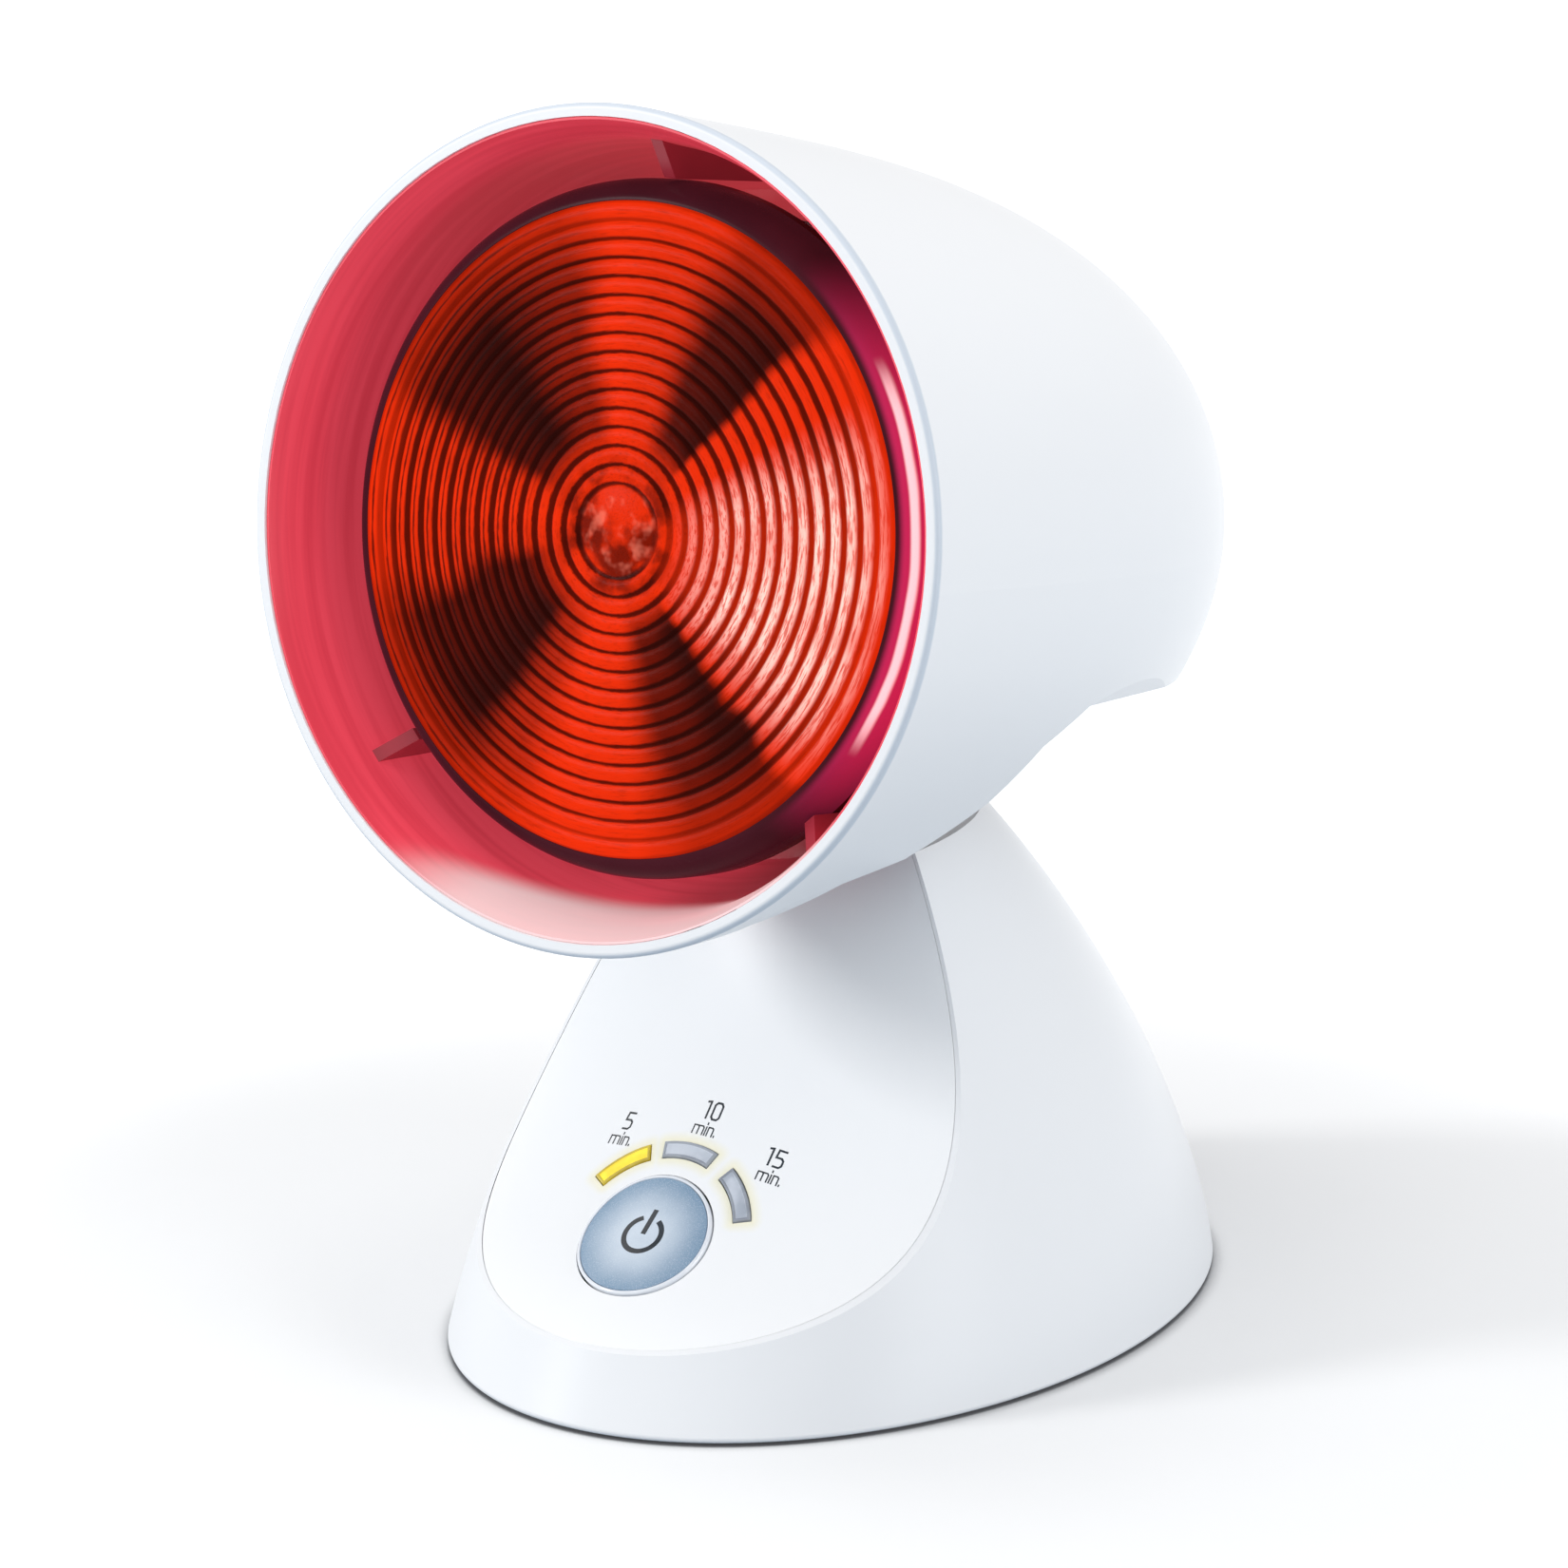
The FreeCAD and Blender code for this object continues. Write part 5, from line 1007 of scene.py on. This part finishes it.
# %% Strokes of the characters
# width of each character and its strokes, where 1 is the height of a figure
ARCH = [(0.0, 0.60), (0.33, 0.60), (0.42, 0.50), (0.42, 0.0)]
STEM = [(0.0, 0.0), (0.0, 0.60)]
GLYPHS = {
    "0": (0.56, [[(0.0, 0.15), (0.0, 0.85), (0.13, 1.0), (0.43, 1.0), (0.56, 0.85),
                  (0.56, 0.15), (0.43, 0.0), (0.13, 0.0), (0.0, 0.15)]]),
    "1": (0.22, [[(0.0, 0.96), (0.22, 1.0), (0.22, 0.0)]]),
    "5": (0.52, [[(0.54, 1.0), (0.04, 1.0), (0.0, 0.56), (0.38, 0.56), (0.52, 0.43),
                  (0.52, 0.14), (0.38, 0.0), (0.0, 0.0)]]),
    "m": (0.84, [STEM, ARCH, [(0.42, 0.60), (0.75, 0.60), (0.84, 0.50), (0.84, 0.0)]]),
    "i": (0.0, [STEM, [(0.0, 0.78), (0.0, 0.90)]]),
    "n": (0.42, [STEM, ARCH]),
    ".": (0.0, [[(0.0, 0.0), (0.0, 0.09)]]),
}
LEAN = -0.02
NARROW = 0.94
FIGURE_GAP = 0.34
LETTER_GAP = 0.20


def written(word, height, x, up):
    """Strokes of a word whose middle is at x and whose feet stand at up."""
    gap = FIGURE_GAP if word.isdigit() else LETTER_GAP
    pen = 0.0
    strokes = []
    for letter in word:
        wide, shapes = GLYPHS[letter]
        strokes += [[(pen + px, py) for px, py in shape] for shape in shapes]
        pen += wide + gap
    full = pen - gap
    return [[(x + ((px - full / 2) * NARROW + LEAN * py) * height, up + py * height)
             for px, py in stroke] for stroke in strokes]


print("characters drawn:", " ".join(GLYPHS))

# %% [markdown]
# The pen turns a stroke into a ribbon. At each point it steps half a width to
# either side, along the mitre of the two directions that meet there. Long
# strokes are cut into short steps first, so that the ribbon follows the
# curved face, and square ends run a little past the stroke.

# %% The pen
INK_LIFT = 0.02 * MM
PEN_CAP = 0.4                   # how far a stroke runs past its ends, in pen widths


def subdivided(stroke, longest=0.5):
    """Stroke in millimetres with no step longer than half a millimetre."""
    fine = [stroke[0]]
    for (x0, y0), (x1, y1) in zip(stroke, stroke[1:]):
        count = max(1, math.ceil(math.hypot(x1 - x0, y1 - y0) / longest))
        fine += [(x0 + (x1 - x0) * i / count, y0 + (y1 - y0) * i / count)
                 for i in range(1, count + 1)]
    return fine


def ink(name, strokes, width, drop, body):
    """Thin printed ribbons along strokes in millimetres on the flat sheet."""
    points = []
    faces = []
    for stroke in strokes:
        path = [Vector(p) for p in subdivided(stroke)]
        looped = (path[0] - path[-1]).length < 1e-6
        start = len(points)
        for i, spot in enumerate(path):
            before = path[i - 1] if i else (path[-2] if looped else spot)
            after = path[i + 1] if i < len(path) - 1 else (path[1] if looped else spot)
            into = (spot - before) if (spot - before).length > 0 else (after - spot)
            out = (after - spot) if (after - spot).length > 0 else into
            normal_in = Vector((-into.y, into.x)).normalized()
            normal_out = Vector((-out.y, out.x)).normalized()
            mitre = (normal_in + normal_out).normalized()
            reach = width / 2 / max(0.5, mitre.dot(normal_in))
            if not looped and i == 0:
                spot = spot - out.normalized() * width * PEN_CAP
            if not looped and i == len(path) - 1:
                spot = spot + into.normalized() * width * PEN_CAP
            for sign in (1, -1):
                edge = spot + mitre * reach * sign
                points.append(drop(edge.x * MM, edge.y * MM, INK_LIFT))
            if i:
                a = start + 2 * i
                faces.append((a - 2, a - 1, a + 1, a))
    piece = make_piece(name, points, faces, ["printing_ink"], body)
    return piece


# %% [markdown]
# Each figure stands over its window with "min." under it. Only the places
# differ, so a table of places and one loop print them all.

# %% Print the minute figures
FIGURE_HEIGHT, FIGURE_PEN = 3.2, 0.40
WORD_HEIGHT, WORD_PEN = 2.7, 0.28
# number: (its own place, the place of its "min.") across and up the face
FIGURES = {"5": ((-16.0, 20.1), (-16.0, 16.9)),
           "10": ((0.8, 25.0), (0.7, 21.8)),
           "15": ((16.6, 19.8), (17.0, 16.6))}
for number, (figure_place, word_place) in FIGURES.items():
    ink("print_" + number, written(number, FIGURE_HEIGHT, *figure_place), FIGURE_PEN,
        on_panel, "foot")
    ink("print_min_" + number, written("min.", WORD_HEIGHT, *word_place), WORD_PEN,
        on_panel, "foot")
print("printed figures:", ", ".join(FIGURES))

# %% [markdown]
# The power sign lies on the button's cushion, which is a little higher than
# the solid below it, so its drop adds the cushion's height at that place.

# %% Print the power sign
SIGN_RADIUS = 3.6
SIGN_GAP = 33                   # half the gap at the top of the ring, in degrees
SIGN_STEPS = 60
SIGN_PEN = 1.0

sign_ring = []
for step in range(SIGN_STEPS + 1):
    turn = math.radians(90 + SIGN_GAP + (360 - 2 * SIGN_GAP) * step / SIGN_STEPS)
    sign_ring.append((SIGN_RADIUS * math.cos(turn), SIGN_RADIUS * math.sin(turn)))
bar = [(0.0, 0.5), (0.0, 5.0)]


def on_cushion(x, up, lift=0.0):
    """Drop a point on the cushion that was built over the button's solid."""
    spot = on_button(x, up)
    share = math.hypot(x, up) / (BUTTON_RADIUS * MM)
    return spot + OUT * (CUSHION_HEIGHT * MM * (1 - share ** 2) + lift)


sign = ink("print_power_sign", [sign_ring, bar], SIGN_PEN, on_cushion, "button")
print("power sign:", len(sign.data.polygons), "faces")

# %% [markdown]
# ## Table and light
# The lamp stands on a plain white sheet in an even, cool studio light. The
# light must not bleach the white plastic, yet the sheet should vanish into
# the background. The trick is to give the sheet and the world a whiter value
# only for rays that come straight from the camera or from a mirror; all other
# rays see the plain level that lights the lamp. Further out the sheet also
# glows a little, so that no edge of it shows. Close under the foot hardly any
# light gets in, and an occlusion node, which tells how open a point is, turns
# the sheet dark there.

# %% World and floor
def show(tree, plain, direct, output):
    """Send plain to the output, but direct for rays from the camera, a mirror or glass."""
    path = add(tree, "ShaderNodeLightPath", {}).outputs
    seen = Signal(path["Is Camera Ray"]).apply("MAXIMUM", Signal(path["Is Glossy Ray"]))
    seen = seen.apply("MAXIMUM", Signal(path["Is Transmission Ray"]))
    sides = {0: seen, 1: Signal(plain.outputs[0]), 2: Signal(direct.outputs[0])}
    plug(tree.nodes[output], {0: made(tree, "ShaderNodeMixShader", sides)})


world = bpy.data.worlds.new("studio")
bpy.context.scene.world = world
world.use_nodes = True
tree = world.node_tree
plain_level = tree.nodes["Background"]
plug(plain_level, {"Color": (0.97, 0.98, 1.0, 1), "Strength": 0.70})
white_level = add(tree, "ShaderNodeBackground", {"Color": (1, 1, 1, 1), "Strength": 1.0})
show(tree, plain_level, white_level, "World Output")

shader, where = start_finish("white_sheet")
tree = where.tree
paper = mixed(noise(where, 30.0), (0.91, 0.91, 0.91, 1), (0.90, 0.90, 0.90, 1))
opening = made(tree, "ShaderNodeAmbientOcclusion", {"Distance": 6.0 * MM}, "AO", samples=8)
paper = mixed(ramp(opening, 0.35, 0.80), (0.10, 0.10, 0.11, 1), paper)
plug(shader, {"Base Color": paper, "Roughness": 0.9, "Specular IOR Level": 0.0})
glow = ramp(vector_step("LENGTH", where), 0.14, 0.32, 0.04, 0.60)
lift = made(tree, "ShaderNodeEmission", {"Color": (1.0, 1.0, 1.0, 1), "Strength": glow})
brighter = add(tree, "ShaderNodeAddShader", {0: Signal(shader.outputs[0]), 1: lift})
greyer = add(tree, "ShaderNodeBsdfDiffuse", {"Color": (0.31, 0.38, 0.45, 1)})
show(tree, greyer, brighter, "Material Output")

FLOOR_HALF = 4.0
mesh = bpy.data.meshes.new("white_sheet")
mesh.from_pydata([(x * FLOOR_HALF, y * FLOOR_HALF, 0)
                  for x, y in ((-1, -1), (1, -1), (1, 1), (-1, 1))], [], [(0, 1, 2, 3)])
mesh.materials.append(finishes["white_sheet"])
floor = bpy.data.objects.new("white_sheet", mesh)
bpy.context.scene.collection.objects.link(floor)
floor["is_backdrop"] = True
print("floor is", 2 * FLOOR_HALF, "m wide")

# %% [markdown]
# Four lamps light the scene. A small, bright one at the front left shapes the
# lamp and leaves its shadow on the right. A wide one overhead and another on
# the right soften that shadow, and a tall, faint one in front gives the glass
# a sheen. The camera doesn't see any of them.

# %% Lamps of the studio
def softbox(name, place, aim, size, power):
    """Rectangular lamp at a place that is aimed at a point."""
    data = bpy.data.lights.new(name, "AREA")
    data.shape = "RECTANGLE"
    data.size, data.size_y = size
    data.energy = power
    box = bpy.data.objects.new(name, data)
    box.location = place
    box.rotation_euler = (Vector(place) - Vector(aim)).to_track_quat("Z", "Y").to_euler()
    box.visible_camera = False
    bpy.context.scene.collection.objects.link(box)


MIDDLE = (0.0, 0.0, 0.12)
softbox("softbox_left", (-1.08, -1.31, 0.76), MIDDLE, (0.35, 0.35), 14.0)
softbox("softbox_overhead", (-0.15, -0.25, 2.1), MIDDLE, (1.0, 1.0), 7.0)
softbox("softbox_glass", (0.10, -1.50, 0.32), (0.0, -0.08, 0.16), (0.35, 0.9), 0.4)
softbox("softbox_right", (1.75, 0.10, 0.50), MIDDLE, (0.8, 1.0), 10.5)

# %% Sizes and finish
dressed_box = [list(corner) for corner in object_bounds()]
print("box of the dressed lamp:", [[round(v, 4) for v in corner] for corner in dressed_box])
